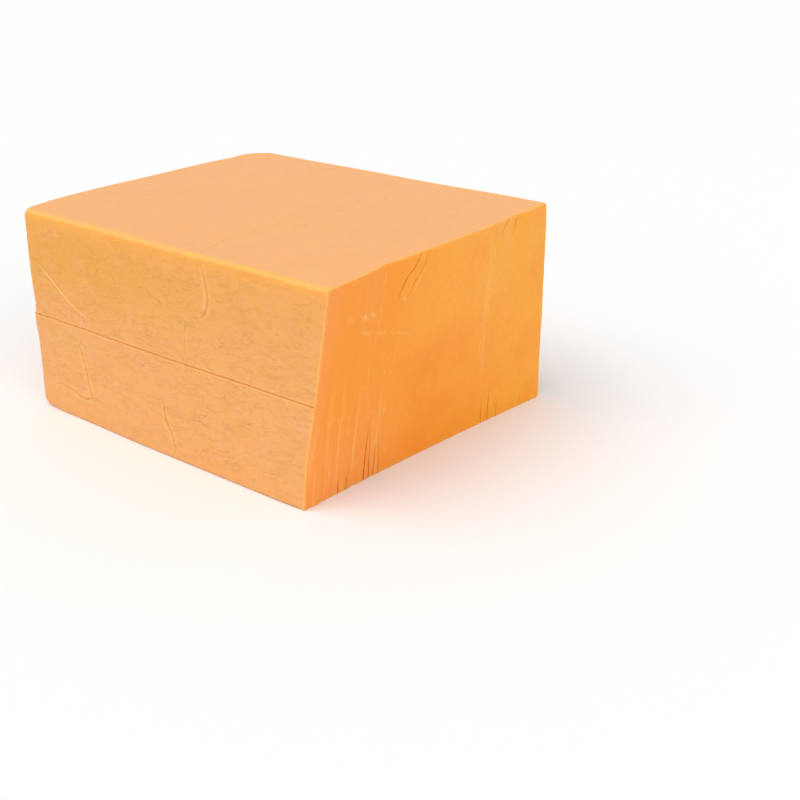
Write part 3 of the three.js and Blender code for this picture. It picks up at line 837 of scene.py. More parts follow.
def mark_lines():
    marks = Lines("mark_lines", MARK_SPACING)
    for half_width, strength, places in MARKS:
        marks.add(onto_cut(smooth_path(places, LINE_STEP)), half_width, strength)
    wander = np.random.default_rng(CURL_DRAW)
    for across, up, count in CURLS:
        for _ in range(count):
            start = np.array([wander.uniform(*across), wander.uniform(*up)])
            reach = wander.uniform(*CURL_LENGTH)
            bends = [start + (wander.uniform(-CURL_SWAY, CURL_SWAY), reach * share) for share in CURL_BENDS]
            curl = onto_cut(smooth_path(bends, LINE_STEP))
            marks.add(curl, CURL_HALF_WIDTH, wander.uniform(*CURL_STRENGTH))
    return marks


def box_side(axis, end, cells):
    """The square cells of one side of a box of whole-numbered cells, facing out."""
    across, up = (axis + 1) % 3, (axis + 2) % 3
    i, j = np.meshgrid(np.arange(cells[across]), np.arange(cells[up]), indexing="ij")
    i, j = i.ravel(), j.ravel()
    corners = []
    for step_i, step_j in ((0, 0), (1, 0), (1, 1), (0, 1)):
        place = np.zeros((len(i), 3), int)
        place[:, axis] = end * cells[axis]
        place[:, across] = i + step_i
        place[:, up] = j + step_j
        corners.append(place)
    a, b, c, d = corners if end else corners[::-1]
    return np.concatenate([np.stack([a, b, c], axis=1), np.stack([a, c, d], axis=1)])


def box_triangles(cells):
    """A closed box of triangles: its points as shares of its lengths, and its faces."""
    sides = [box_side(axis, end, cells) for axis in range(3) for end in (0, 1)]
    corners = np.concatenate(sides).reshape(-1, 3)
    points, inverse = np.unique(corners, axis=0, return_inverse=True)
    return points / np.array(cells), inverse.reshape(-1, 3)


class EdgeLengths:
    """Edge lengths as shares of the spacing asked for, with none measured twice."""

    def __init__(self, spacing):
        self.spacing = spacing
        self.keys = np.empty(0, int)
        self.lengths = np.empty(0)

    def __call__(self, points, low, high):
        keys = low * KEY_STEP + high
        place = np.minimum(np.searchsorted(self.keys, keys), max(0, len(self.keys) - 1))
        known = self.keys[place] == keys if len(self.keys) else np.zeros(len(keys), bool)
        lengths = np.empty(len(keys))
        if known.any():
            lengths[known] = self.lengths[place[known]]
        start, end = points[low[~known]], points[high[~known]]
        lengths[~known] = np.linalg.norm((end - start) / self.spacing((start + end) / 2), axis=1)
        self.keys, self.lengths = keys, lengths
        return lengths


def split_once(points, faces, edge_lengths):
    """Splits each edge that is longer than the spacing asked for at its middle. The mesh stays closed."""
    starts = faces
    ends = np.roll(faces, -1, axis=1)
    low, high = np.minimum(starts, ends), np.maximum(starts, ends)
    keys, inverse = np.unique((low * KEY_STEP + high).ravel(), return_inverse=True)
    low, high = keys // KEY_STEP, keys % KEY_STEP
    middles = (points[low] + points[high]) / 2
    length = edge_lengths(points, low, high)
    long = length > 1
    face_edges = inverse.reshape(-1, 3)
    for _ in range(3):
        touched = long[face_edges].any(axis=1)
        longest = length[face_edges].argmax(axis=1)
        long[face_edges[touched, longest[touched]]] = True
    if not long.any():
        return points, faces, False
    middle_index = np.full(len(keys), -1)
    middle_index[long] = len(points) + np.arange(long.sum())
    points = np.vstack([points, middles[long]])
    cuts = long[face_edges]
    count = cuts.sum(axis=1)

    def turned(chosen, turn):
        """The chosen faces and their edges' middles, turned so that the corner of that number is first."""
        order = (turn[:, None] + np.arange(3)) % 3
        rows = np.arange(len(turn))[:, None]
        return faces[chosen][rows, order].T, middle_index[face_edges[chosen]][rows, order].T

    made = [faces[count == 0]]
    one = count == 1
    (a, b, c), (ab, _, _) = turned(one, cuts[one].argmax(axis=1))
    made += [np.stack([a, ab, c], axis=1), np.stack([ab, b, c], axis=1)]
    two = count == 2
    (a, b, c), (ab, bc, _) = turned(two, (cuts[two].argmin(axis=1) + 1) % 3)
    made.append(np.stack([ab, b, bc], axis=1))
    shorter = (np.linalg.norm(points[a] - points[bc], axis=1)
               < np.linalg.norm(points[ab] - points[c], axis=1))[:, None]
    made.append(np.where(shorter, np.stack([a, ab, bc], axis=1), np.stack([a, ab, c], axis=1)))
    made.append(np.where(shorter, np.stack([a, bc, c], axis=1), np.stack([ab, bc, c], axis=1)))
    three = count == 3
    (a, b, c), (ab, bc, ca) = turned(three, np.zeros(three.sum(), int))
    made += [np.stack(corners, axis=1) for corners in ((a, ab, ca), (ab, b, bc), (ca, bc, c), (ab, bc, ca))]
    return points, np.concatenate(made), True


def plan_places(points):
    """Points of the plan box, whose length is even, as places of the block, whose length ends at the cut."""
    x, y, z = points.T
    return np.stack([x / PLAN_LENGTH * cut_face(y, z), y, z], axis=1)


def side_masks(points):
    """Which of the plan box's sides each point lies on."""
    x, y, z = points.T
    return {
        "end": x < ON_PLANE,
        "cut": x > PLAN_LENGTH - ON_PLANE,
        "front": y < FRONT + ON_PLANE,
        "back": y > BACK - ON_PLANE,
        "foot": z < ON_PLANE,
        "top": z > TOP - ON_PLANE,
    }


class Fineness:
    """How long a triangle's edge may be along each axis: short across edges, the seam and the lines."""

    def __init__(self, all_lines):
        groups = [np.vstack(lines.places) for lines in all_lines]
        self.line_spacing = np.concatenate([
            np.full(len(group), lines.spacing) for group, lines in zip(groups, all_lines)])
        x, y, z = np.vstack(groups).T
        plan = np.stack([x / cut_face(y, z) * PLAN_LENGTH, y, z], axis=1)
        self.tree = KDTree(len(plan))
        for i, place in enumerate(plan):
            self.tree.insert(place, i)
        self.tree.balance()

    def __call__(self, points):
        spacing = np.full(points.shape, COARSEST)
        masks = side_masks(points)
        for side, mask in masks.items():
            spacing[mask] = np.minimum(spacing[mask], SPACING[side])
        x, y, z = points.T
        at_cut = x > PLAN_LENGTH / 2
        gaps = (np.where(at_cut, PLAN_LENGTH - x, x), HALF_DEPTH - np.abs(y), np.minimum(z, TOP - z))
        for first, second in ((0, 1), (0, 2), (1, 2)):
            away = np.maximum(gaps[first], gaps[second])
            base = np.where(at_cut & (first == 0), RIM_SPACING, ROLL_SPACING)
            base = np.where((second == 2) & (z < TOP / 2) & (base > RIM_SPACING), FOOT_SPACING, base)
            for axis in (first, second):
                spacing[:, axis] = np.minimum(spacing[:, axis], base + GROWTH * away)
        from_seam = np.where(masks["cut"], FAR, np.abs(z - SEAM_HEIGHT))
        seam = SEAM_SPACING + GROWTH * np.maximum(0, from_seam - LINE_REACH)
        spacing[:, 2] = np.minimum(spacing[:, 2], seam)
        found = [self.tree.find(point)[1:] for point in points]
        nearest, gap = (np.array(column) for column in zip(*found))
        line = self.line_spacing[nearest] + GROWTH * np.maximum(0, gap - LINE_REACH)
        return np.minimum(spacing, line[:, None])


class Wiring:
    """Adds nodes to a tree and links values into their sockets."""

    def __init__(self, tree):
        self.tree = tree

    def add(self, kind, inputs=None, **settings):
        node = self.tree.nodes.new(kind)
        for name, value in settings.items():
            setattr(node, name, value)
        for name, value in (inputs or {}).items():
            self.feed(node.inputs[name], value)
        return node

    def feed(self, socket, value):
        if isinstance(value, bpy.types.NodeSocket):
            self.tree.links.new(value, socket)
        else:
            socket.default_value = value

    def run(self, kind, operation, values):
        """The first output of a node whose operation takes the values in turn."""
        node = self.add(kind, operation=operation)
        for socket, value in zip(node.inputs, values):
            self.feed(socket, value)
        return node.outputs[0]

    def math(self, operation, *values):
        return self.run("ShaderNodeMath", operation, values)

    def times(self, first, *others):
        for other in others:
            first = self.math("MULTIPLY", first, other)
        return first

    def plus(self, first, *others):
        for other in others:
            first = self.math("ADD", first, other)
        return first

    def minus(self, first, second):
        return self.math("SUBTRACT", first, second)

    def moved(self, vector, way):
        return self.run("ShaderNodeVectorMath", "ADD", (vector, way))

    def stretched(self, vector, shares):
        return self.run("ShaderNodeVectorMath", "MULTIPLY", (vector, shares))

    def scaled(self, vector, scale):
        node = self.add("ShaderNodeVectorMath", {"Scale": scale}, operation="SCALE")
        self.feed(node.inputs[0], vector)
        return node.outputs[0]

    def along(self, vector, way):
        """How far a vector reaches along another."""
        node = self.add("ShaderNodeVectorMath", {0: vector, 1: way}, operation="DOT_PRODUCT")
        return node.outputs["Value"]

    def turned(self, vector):
        """A vector turned askew, so that no noise lies square to the block."""
        node = self.add("ShaderNodeVectorRotate", {"Vector": vector, "Rotation": ASKEW},
                        rotation_type="EULER_XYZ")
        return node.outputs[0]

    def parts(self, vector):
        return self.add("ShaderNodeSeparateXYZ", {"Vector": vector}).outputs

    def joined(self, **parts):
        return self.add("ShaderNodeCombineXYZ", parts).outputs[0]

    def ramp(self, value, low, high, to_low=0.0, to_high=1.0):
        """A smooth step from one value to another as the input goes from low to high."""
        node = self.add("ShaderNodeMapRange", {
            "Value": value, "From Min": low, "From Max": high, "To Min": to_low, "To Max": to_high,
        }, interpolation_type="SMOOTHSTEP")
        return node.outputs["Result"]

    def change(self, parts, name):
        """A slow change over the block, by its name in CHANGES."""
        axis, *steps = CHANGES[name]
        return self.ramp(parts[axis], *steps)

    def bell(self, value, middle, spread):
        """A smooth bell round a middle, from 0 to 1."""
        share = self.math("DIVIDE", self.minus(value, middle), spread)
        return self.math("EXPONENT", self.times(share, share, -1.0))

    def noise(self, vector, scale, detail=2.0, roughness=0.5, distortion=0.0):
        node = self.add("ShaderNodeTexNoise", {
            "Vector": vector, "Scale": scale, "Detail": detail,
            "Roughness": roughness, "Distortion": distortion})
        return node.outputs[0]

    def pattern(self, place, name):
        """A patchy noise by its name in PATTERNS, and the share that its colour has."""
        scale, detail, roughness, *steps = PATTERNS[name]
        noise = self.noise(place, scale, detail, roughness)
        return noise, self.ramp(noise, *steps)

    def colour_mix(self, share, first, second):
        node = self.add("ShaderNodeMix", data_type="RGBA")
        for place, value in ((0, share), (6, first), (7, second)):
            self.feed(node.inputs[place], value)
        return node.outputs[2]

    def layered(self, colour, layers):
        """A colour with others laid over it in turn, each given as its share and colour."""
        for share, over in layers:
            colour = self.colour_mix(share, colour, rgba(over))
        return colour

    def bump(self, shader, height, strength):
        node = self.add("ShaderNodeBump", {"Height": height, "Distance": 1.0, "Strength": strength})
        self.feed(shader.inputs["Normal"], node.outputs[0])

    def attribute(self, name):
        """A named number of the mesh, in a material."""
        return self.add("ShaderNodeAttribute", attribute_name=name).outputs["Fac"]

    def stored(self, name):
        """A named number of the mesh, in a geometry tree."""
        node = self.add("GeometryNodeInputNamedAttribute", {"Name": name}, data_type="FLOAT")
        return node.outputs["Attribute"]

    def store(self, geometry, name, value):
        node = self.add("GeometryNodeStoreNamedAttribute", {
            "Geometry": geometry, "Name": name, "Value": value}, data_type="FLOAT", domain="POINT")
        return node.outputs["Geometry"]

    def group(self, tree, inputs):
        return self.add("GeometryNodeGroup", inputs, node_tree=tree).outputs

    def finished(self, geometry, material):
        """The geometry with its instances realized and its material set."""
        geometry = self.add("GeometryNodeRealizeInstances", {"Geometry": geometry}).outputs[0]
        return self.add("GeometryNodeSetMaterial", {"Geometry": geometry, "Material": material}).outputs[0]


def new_group(name, inputs, outputs):
    """A geometry tree whose sockets are given by name and kind, and the nodes that hold them."""
    tree = bpy.data.node_groups.new(name, "GeometryNodeTree")
    for way, sockets in (("INPUT", inputs), ("OUTPUT", outputs)):
        for label, kind in sockets.items():
            tree.interface.new_socket(label, in_out=way, socket_type=f"NodeSocket{kind}")
    wiring = Wiring(tree)
    return wiring, wiring.add("NodeGroupInput").outputs, wiring.add("NodeGroupOutput").inputs


def line_relief_group():
    """Relief that follows lines: full height on the line, and a low shoulder of the other sign beside it."""
    w, entry, leaving = new_group(
        "Line relief", {"Lines": "Object", "Shoulder": "Float"},
        {"Relief": "Float", "Nearness": "Float", "Flank": "Float"})
    lines = w.add("GeometryNodeObjectInfo", {"Object": entry["Lines"]}).outputs["Geometry"]
    nearest = w.add("GeometryNodeProximity", {0: lines}, target_element="EDGES").outputs
    index = w.add("GeometryNodeSampleNearest", {
        "Geometry": lines, "Sample Position": nearest["Position"]}).outputs["Index"]

    def on_line(name):
        return w.add("GeometryNodeSampleIndex", {
            "Geometry": lines, "Value": w.stored(name), "Index": index}).outputs["Value"]

    reach = w.math("DIVIDE", nearest["Distance"], on_line("half_width"))
    core = w.ramp(reach, *LINE_CORE)
    outer = w.ramp(reach, *LINE_SHOULDER)
    beside = w.times(outer, entry["Shoulder"])
    full = w.times(core, w.plus(entry["Shoulder"], 1.0))
    height = on_line("height")
    depth = w.math("ABSOLUTE", height)
    w.feed(leaving["Relief"], w.times(w.minus(full, beside), height))
    w.feed(leaving["Nearness"], w.times(core, depth))
    w.feed(leaving["Flank"], w.times(w.minus(outer, core), depth))
    return w.tree


def drag_group():
    """Fine ridges that the wire dragged down the cut, bent where it was pulled aside."""
    w, entry, leaving = new_group("Drag marks", {"Height": "Float", "Pitch": "Float"}, {"Relief": "Float"})
    place = w.parts(w.add("GeometryNodeInputPosition").outputs[0])
    aside = w.times(w.bell(place["Y"], *RIDGE_BEND), w.change(place, "ridges aside"))
    across = w.math("DIVIDE", w.plus(place["Y"], aside), entry["Pitch"])
    down = w.times(place["Z"], RIDGE_CLIMB)
    fine = w.noise(w.joined(X=across, Y=down), *RIDGE_NOISE)
    broad_place = w.joined(X=w.times(across, BROAD_RIDGES), Y=down, Z=BROAD_RIDGE_PLACE)
    broad = w.noise(broad_place, *BROAD_RIDGE_NOISE)
    ridges = w.plus(w.minus(fine, 0.5), w.minus(broad, 0.5))
    strength = w.times(w.change(place, "ridges at foot"), w.change(place, "ridges near"), w.stored("cut"))
    height = w.times(strength, w.times(entry["Height"], RIDGE_GAIN))
    w.feed(leaving["Relief"], w.times(ridges, height))
    return w.tree


def wrinkle_group():
    """Meandering wrinkles of the bag, pressed into the skin: lines where a slow noise crosses even levels."""
    w, entry, leaving = new_group("Film wrinkles", {"Height": "Float", "Size": "Float"}, {"Relief": "Float"})
    place = w.add("GeometryNodeInputPosition").outputs[0]
    place = w.scaled(place, w.math("DIVIDE", 1.0, entry["Size"]))
    pressed = w.times(long_wrinkles(w, place), LONG_WRINKLE_DEPTH)
    relief = w.minus(w.noise(place, *SOFT_WRINKLES), pressed)
    w.feed(leaving["Relief"], w.times(relief, entry["Height"]))
    return w.tree


def long_wrinkles(w, place):
    """1 on long wrinkles that meander mostly level, 0 between them."""
    return contour_lines(w, w.stretched(place, WRINKLE_SQUASH), *LONG_WRINKLES)


def fine_wrinkles(w, place):
    """1 on short, mostly level strokes that come in patches, 0 between them."""
    flat = w.moved(w.stretched(place, WRINKLE_SQUASH), FINE_PLACE)
    patches = w.ramp(w.noise(place, *FINE_PATCH_NOISE), *FINE_PATCHES)
    return w.times(contour_lines(w, flat, *FINE_WRINKLES), patches)


def contour_lines(w, place, scale, levels, width, breaks):
    """Lines where a noise crosses even levels, uneven in strength and broken more often by more breaks."""
    level = w.times(w.noise(place, scale, *CONTOUR_NOISE), levels)
    off = w.math("ABSOLUTE", w.minus(w.math("FRACT", level), 0.5))
    strength = w.ramp(w.noise(w.moved(place, BREAK_PLACE), scale * breaks, 1.0), *BREAKS)
    return w.times(w.ramp(off, width, 0.0), strength)


def dress_group():
    """The whole relief: seam, creases, folds, lip, drag marks and wrinkles, and then the materials."""
    w, entry, leaving = new_group("Dress block", {
        "Geometry": "Geometry", **{name: "Object" for name in SHOULDERS},
        "Wrinkle Height": "Float", "Wrinkle Size": "Float", "Drag Height": "Float", "Drag Pitch": "Float",
        "Skin": "Material", "Paste": "Material",
    }, {"Geometry": "Geometry"})
    line_tree = line_relief_group()
    reliefs = {name: w.group(line_tree, {"Lines": entry[name], "Shoulder": shoulder})
               for name, shoulder in SHOULDERS.items()}
    drag = w.group(drag_group(), {"Height": entry["Drag Height"], "Pitch": entry["Drag Pitch"]})
    wrinkles = w.group(wrinkle_group(), {"Height": entry["Wrinkle Height"], "Size": entry["Wrinkle Size"]})
    skin = w.minus(1.0, w.stored("cut"))
    on_top = w.ramp(w.stored("upright"), 0.0, 1.0, WRINKLES_ON_TOP, 1.0)
    lines = (reliefs[name]["Relief"] for name in ("Seam", "Creases", "Folds", "Lip"))
    pressed = w.times(w.plus(w.times(wrinkles["Relief"], on_top), *lines), skin)
    total = w.times(w.plus(pressed, drag["Relief"]), w.minus(1.0, w.stored("under")))

    def strongest(output, first, second):
        shallow = w.times(reliefs[second][output], SHALLOW_SHARE)
        return w.times(w.math("MAXIMUM", reliefs[first][output], shallow), STRENGTH_OF_DEPTH, skin)

    # Numbers for the skin's painted shade in the creases and the seam, for its painted highlight beside them and along
    # the folds and lip, and for the cut's pale marks.
    geometry = w.store(entry["Geometry"], "crease", strongest("Nearness", "Creases", "Seam"))
    geometry = w.store(geometry, "flank", strongest("Flank", "Creases", "Seam"))
    geometry = w.store(geometry, "fold", strongest("Nearness", "Folds", "Lip"))
    geometry = w.store(geometry, "pale", w.times(reliefs["Marks"]["Nearness"], 1 / MM, w.stored("cut")))
    offset = w.scaled(w.add("GeometryNodeInputNormal").outputs[0], total)
    geometry = w.add("GeometryNodeSetPosition", {"Geometry": geometry, "Offset": offset}).outputs[0]
    geometry = w.finished(geometry, entry["Skin"])
    on_cut = w.math("GREATER_THAN", w.stored("cut_side"), 0.5)
    geometry = w.add("GeometryNodeSetMaterial", {
        "Geometry": geometry, "Selection": on_cut, "Material": entry["Paste"]}).outputs[0]
    w.feed(leaving["Geometry"], geometry)
    return w.tree


def plain_mesh(host, name):
    """What an object's modifiers make of it, as a plain mesh."""
    graph = bpy.context.evaluated_depsgraph_get()
    mesh = bpy.data.meshes.new_from_object(host.evaluated_get(graph), depsgraph=graph)
    mesh.name = name
    return mesh


def apply_tree(host, tree, values, name):
    """Runs a geometry tree on an object and returns the result as a plain object of its own."""
    modifier = host.modifiers.new("Tree", "NODES")
    modifier.node_group = tree
    for item in tree.interface.items_tree:
        if item.in_out == "INPUT" and item.name in values:
            modifier[item.identifier] = values[item.name]
    mesh = plain_mesh(host, name)
    host.modifiers.remove(modifier)
    return new_object(name, mesh)


def new_material(name):
    """A material with only its output and a shader to dress."""
    material = bpy.data.materials.new(name)
    material.use_nodes = True
    material.node_tree.nodes.clear()
    w = Wiring(material.node_tree)
    shader = w.add("ShaderNodeBsdfPrincipled")
    w.add("ShaderNodeOutputMaterial", {"Surface": shader.outputs[0]})
    return material, w, shader


def rgba(colour):
    return (*colour, 1.0)


def cheese_material(part):
    """A material with the cheese's sheen and the light inside it, and the places that it reads."""
    material, w, shader = new_material(f"Cheddar {part}")
    roughness, scatter = SHEEN[part]
    values = {"Roughness": roughness, "IOR": CHEESE_IOR, "Subsurface Weight": scatter,
              "Subsurface Radius": SCATTER_RADIUS, "Subsurface Scale": SCATTER_SCALE}
    for name, value in values.items():
        shader.inputs[name].default_value = value
    return material, w, shader, w.add("ShaderNodeTexCoord").outputs["Object"]


def skin_material(colours):
    """The dull skin: golden above and towards the end, with streaks and fine strokes; painted shade in its wrinkles,
    creases and seam, and painted light: a lighter top, highlights beside the creases and on the folds, a glow under
    the top edge and bright edges.
    """
    material, w, shader, place = cheese_material("skin")
    spot = w.parts(place)
    turned = w.turned(place)
    upright = w.attribute("upright")
    strength = w.plus(w.times(upright, 1 - TOP_STRENGTH), TOP_STRENGTH)
    # The rosy bruise, and the shares of painted light: glow, highlights and rim.
    patches_and_painted_light = {name: w.times(w.attribute(name), share) for name, share in SKIN_SHARES.items()}
    _, rosy = w.pattern(turned, "rosy skin")
    _, golden = w.pattern(w.moved(turned, GOLDEN_PLACE), "golden skin")
    _, uneven = w.pattern(turned, "golden height")
    above = w.times(w.change(spot, "golden height"), w.change(spot, "golden end"), uneven, upright)
    scaled = w.scaled(place, 1 / WRINKLE_SIZE)
    lines = w.math("MAXIMUM", w.times(long_wrinkles(w, scaled), LONG_LINE_SHARE), fine_wrinkles(w, scaled))
    lines = w.times(lines, strength)
    drawn = w.joined(X=w.along(place, STREAKS_ACROSS), Y=w.along(place, STREAKS_ALONG))
    _, streaks = w.pattern(drawn, "top streaks")
    streaks = w.times(streaks, w.minus(1.0, upright), STREAK_SHARE)
    grain, grain_share = w.pattern(place, "skin grain")
    _, ragged = w.pattern(turned, "skin edge")
    # Painted highlight: the top takes its lighter painted colour, the upright sides the common skin.
    base = w.colour_mix(upright, rgba(colours.lit_top_skin), rgba(colours.skin))
    colour = w.layered(base, (
        (w.times(rosy, strength), colours.skin_rosy),
        (w.times(w.math("MAXIMUM", golden, above), strength), colours.skin_golden),
        (patches_and_painted_light["bruise"], colours.skin_rosy),
        # Painted shade along the wrinkles' lines, and the top's dark streaks.
        (w.plus(w.times(lines, LINE_SHARE), streaks), colours.wrinkle_shade_and_streaks),
        (grain_share, colours.pale),
        # Painted light: the glow under the top edge.
        (w.times(patches_and_painted_light["glow"], upright), colours.under_edge_glow),
        # Painted light: a bright band along the rolled top edges.
        (w.times(w.attribute("edge"), ragged), colours.edge),
        # Painted shade in the creases and the seam.
        (w.times(w.attribute("crease"), w.change(spot, "crease shade")), colours.wrinkle_shade_and_streaks),
        # Painted highlight: pale beside the creases and the seam, and along the raised folds and lip.
        (patches_and_painted_light["flank"], colours.pale),
        (patches_and_painted_light["fold"], colours.pale),
        # Painted light: the bright rim of the skin by the cut.
        (patches_and_painted_light["rim"], colours.edge),
    ))
    w.feed(shader.inputs["Base Color"], colour)
    w.bump(shader, w.minus(w.times(grain, GRAIN_HEIGHT), w.times(lines, LINE_DEPTH)), SKIN_BUMP)
    return material


def paste_material(colours):
    """The moist cut: deeper low in the middle and near the front, with streaks, flecks and dry pale marks, and painted
    light in flecks along its rim.
    """
    material, w, shader, place = cheese_material("paste")
    spot = w.parts(place)
    turned = w.turned(place)
    _, blotches = w.pattern(w.stretched(turned, BLOTCH_STRETCH), "blotches")
    _, uneven = w.pattern(turned, "deep middle")
    middle = w.times(w.change(spot, "deep middle"), w.bell(spot["Y"], *DEEP_MIDDLE), uneven)
    deep = w.math("MAXIMUM", w.math("MAXIMUM", blotches, middle), w.change(spot, "deep near"))
    _, mottled = w.pattern(w.moved(turned, MOTTLE_PLACE), "mottled")
    wander = w.times(w.noise(place, *ROSY_NOISE), ROSY_WANDER)
    front = w.ramp(w.plus(spot["Y"], wander), *ROSY_EDGE)
    foot = w.times(w.change(spot, "rosy foot"), w.change(spot, "rosy near"))
    dragged = w.times(w.change(spot, "dragged foot"), w.change(spot, "dragged near"), 1 - LEAST_DRAGGED)
    dragged = w.plus(dragged, LEAST_DRAGGED)
    streaks, streaked = w.pattern(w.stretched(place, STREAK_STRETCH), "cut streaks")
    flecks, flecked = w.pattern(w.stretched(place, FLECK_STRETCH), "flecks")
    _, ragged = w.pattern(w.stretched(place, RAGGED_STRETCH), "ragged")
    colour = w.layered(rgba(colours.paste), (
        (deep, colours.paste_deep),
        (mottled, colours.paste_deep),
        (w.math("MAXIMUM", front, foot), colours.paste_rosy),
        (w.times(streaked, dragged), colours.pale),
        (flecked, colours.pale),
        (w.math("MINIMUM", w.times(w.attribute("pale"), ragged), MOST_PALE), colours.pale),
        # Painted light: bright flecks along the cut's rim.
        (w.times(w.attribute("rim"), w.ramp(ragged, *RIM_FLECKS)), colours.edge),
    ))
    w.feed(shader.inputs["Base Color"], colour)
    w.bump(shader, w.plus(w.times(streaks, GROOVE_DEPTH, dragged), w.times(flecks, FLECK_HEIGHT)), PASTE_BUMP)
    return material


def crumb_material(colours):
    material, w, shader, place = cheese_material("crumb")
    _, patches = w.pattern(place, "crumb")
    w.feed(shader.inputs["Base Color"], w.colour_mix(patches, rgba(colours.pale), rgba(colours.paste)))
    return material


def frame_shift(points):
    """What moves the block's points, in millimetres, so that their middle and foot are the frame's."""
    low, high = (np.array(corner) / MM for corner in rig.box(NODE))
    middle = (points.min(axis=0) + points.max(axis=0)) / 2
    return np.array([*((low + high) / 2 - middle)[:2], low[2] - points[:, 2].min()])


def bare_block(lines):
    """The block before its relief, as an object with the numbers that the relief and the materials read."""
    shares, faces = box_triangles(FIRST_CELLS)
    points = shares * (PLAN_LENGTH, BLOCK_DEPTH, BLOCK_HEIGHT) + (0, FRONT, 0)
    edge_lengths = EdgeLengths(Fineness(lines))
    for _ in range(REFINE_ROUNDS):
        points, faces, changed = split_once(points, faces, edge_lengths)
        if not changed:
            break
    places = plan_places(points)
    made = carried(places)
    shift = frame_shift(made)
    mesh = new_mesh("bare_block", (made + shift) * MM, faces=faces.tolist())
    mesh.shade_smooth()
    masks = side_masks(points)
    x, y, z = places.T
    gap_y = HALF_DEPTH - np.abs(y)
    gap_z = np.minimum(z, TOP - z)
    to_cut = cut_face(y, z) - x
    rim_gap = np.where(masks["cut"], np.minimum(gap_y, gap_z), to_cut)
    edge_gap = np.maximum(EDGE_BAND["squeeze"] * (TOP - z), np.minimum(x, gap_y))
    from_bruise = np.hypot(x - BRUISE["x"], z - BRUISE["z"])
    # The rim, edge and glow numbers steer painted light in the materials; the bruise is the skin's own rosy patch.
    numbers = {
        "cut": masks["cut"],
        "under": masks["foot"] & ~masks["cut"],
        "rim": np.exp(-((rim_gap / RIM_GLOW) ** 2)),
        "bruise": np.exp(-(from_bruise / BRUISE["spread"]) ** 2) * (y < 0),
        "edge": 1 - smoothstep(edge_gap, EDGE_BAND["from"], EDGE_BAND["to"]),
        "glow": np.exp(-np.maximum(0, TOP - z - GLOW_START) / GLOW_REACH),
        "upright": 1 - smoothstep(z, TOP - UPRIGHT_ENDS, TOP - TOP_STARTS),
    }
    for name, values in numbers.items():
        write_numbers(mesh, name, values)
    write_numbers(mesh, "cut_side", masks["cut"][faces].all(axis=1), "FACE")
    return new_object("bare_block", mesh), shift


def bar_mesh(stations, name):
    """A closed three-sided bar that cuts into the cut face along its stations, with points in millimetres."""
    centres = np.array([station[0] for station in stations], float)
    ahead = np.vstack([centres[1:], centres[-1:]]) - np.vstack([centres[:1], centres[:-1]])
    ahead /= np.linalg.norm(ahead, axis=1)[:, None]
    out = np.array([1.0, 0, 0])
    across = np.cross(ahead, out)
    across /= np.linalg.norm(across, axis=1)[:, None]
    corners = []
    for centre, side, (_, half, depth) in zip(centres, across, stations):
        lifted = centre + out * TOOL_LIFT
        spread = half * (1 + TOOL_LIFT / depth)
        corners += [lifted + side * spread, lifted - side * spread, centre - out * depth]
    faces = [(0, 1, 2)]
    for first in range(0, len(corners) - 3, 3):
        for side in range(3):
            a = first + side
            b = first + (side + 1) % 3
            faces += [(a, a + 3, b), (b, a + 3, b + 3)]
    last = len(corners) - 3
    faces.append((last, last + 2, last + 1))
    return new_mesh(name, np.array(corners) * MM, faces=faces)


def split_stations(width, depth, places, shift, wander):
    """Stations of a split along its path, with ragged width and depth."""
    path = onto_cut(smooth_path(places, BAR_STEP)) + shift
    share = narrowed(len(path))
    ragged = 1 + SPLIT_RAGGED * wander.uniform(-1, 1, len(path))
    return [(point, width / 2 * a * b, depth * a * b) for point, a, b in zip(path, share, ragged)]


def tear_stations(y, height, width, depth, lean, shift, wander):
    """Stations of a tear, which is widest and deepest at the foot and closes as it climbs."""
    share = np.arange(TEAR_STEPS + 1) / TEAR_STEPS
    across = y + lean * share + TEAR_SWAY * wander.uniform(-1, 1, len(share))
    up = lerp(TEAR_START, height, share)
    ragged = 1 + TEAR_RAGGED * wander.uniform(-1, 1, len(share))
    closed = np.maximum(TOOL_END, (1 - share) ** TEAR_CLOSING) * ragged
    points = onto_cut(np.stack([across, up], axis=1)) + shift
    return [(point, width / 2 * c, depth * c) for point, c in zip(points, closed)]


def open_splits(block, paste, shift):
    """Cuts the splits and tears out of the block's cut face."""
    wander = np.random.default_rng(SPLIT_DRAW)
    stations = [split_stations(*split, shift, wander) for split in SPLITS]
    stations += [tear_stations(*tear, shift, wander) for tear in TEARS]
    for number, bar_stations in enumerate(stations):
        mesh = bar_mesh(bar_stations, f"split_{number}")
        mesh.materials.append(paste)
        bar = new_object(mesh.name, mesh)
        cut = block.modifiers.new("Split", "BOOLEAN")
        cut.operation = "DIFFERENCE"
        cut.solver = "MANIFOLD"
        cut.object = bar
        carved = plain_mesh(block, block.name)
        block.modifiers.remove(cut)
        if len(carved.polygons) < len(block.data.polygons) / 2:
            raise RuntimeError(f"split {number} lost the block")
        block.data = carved
        discard(bar)


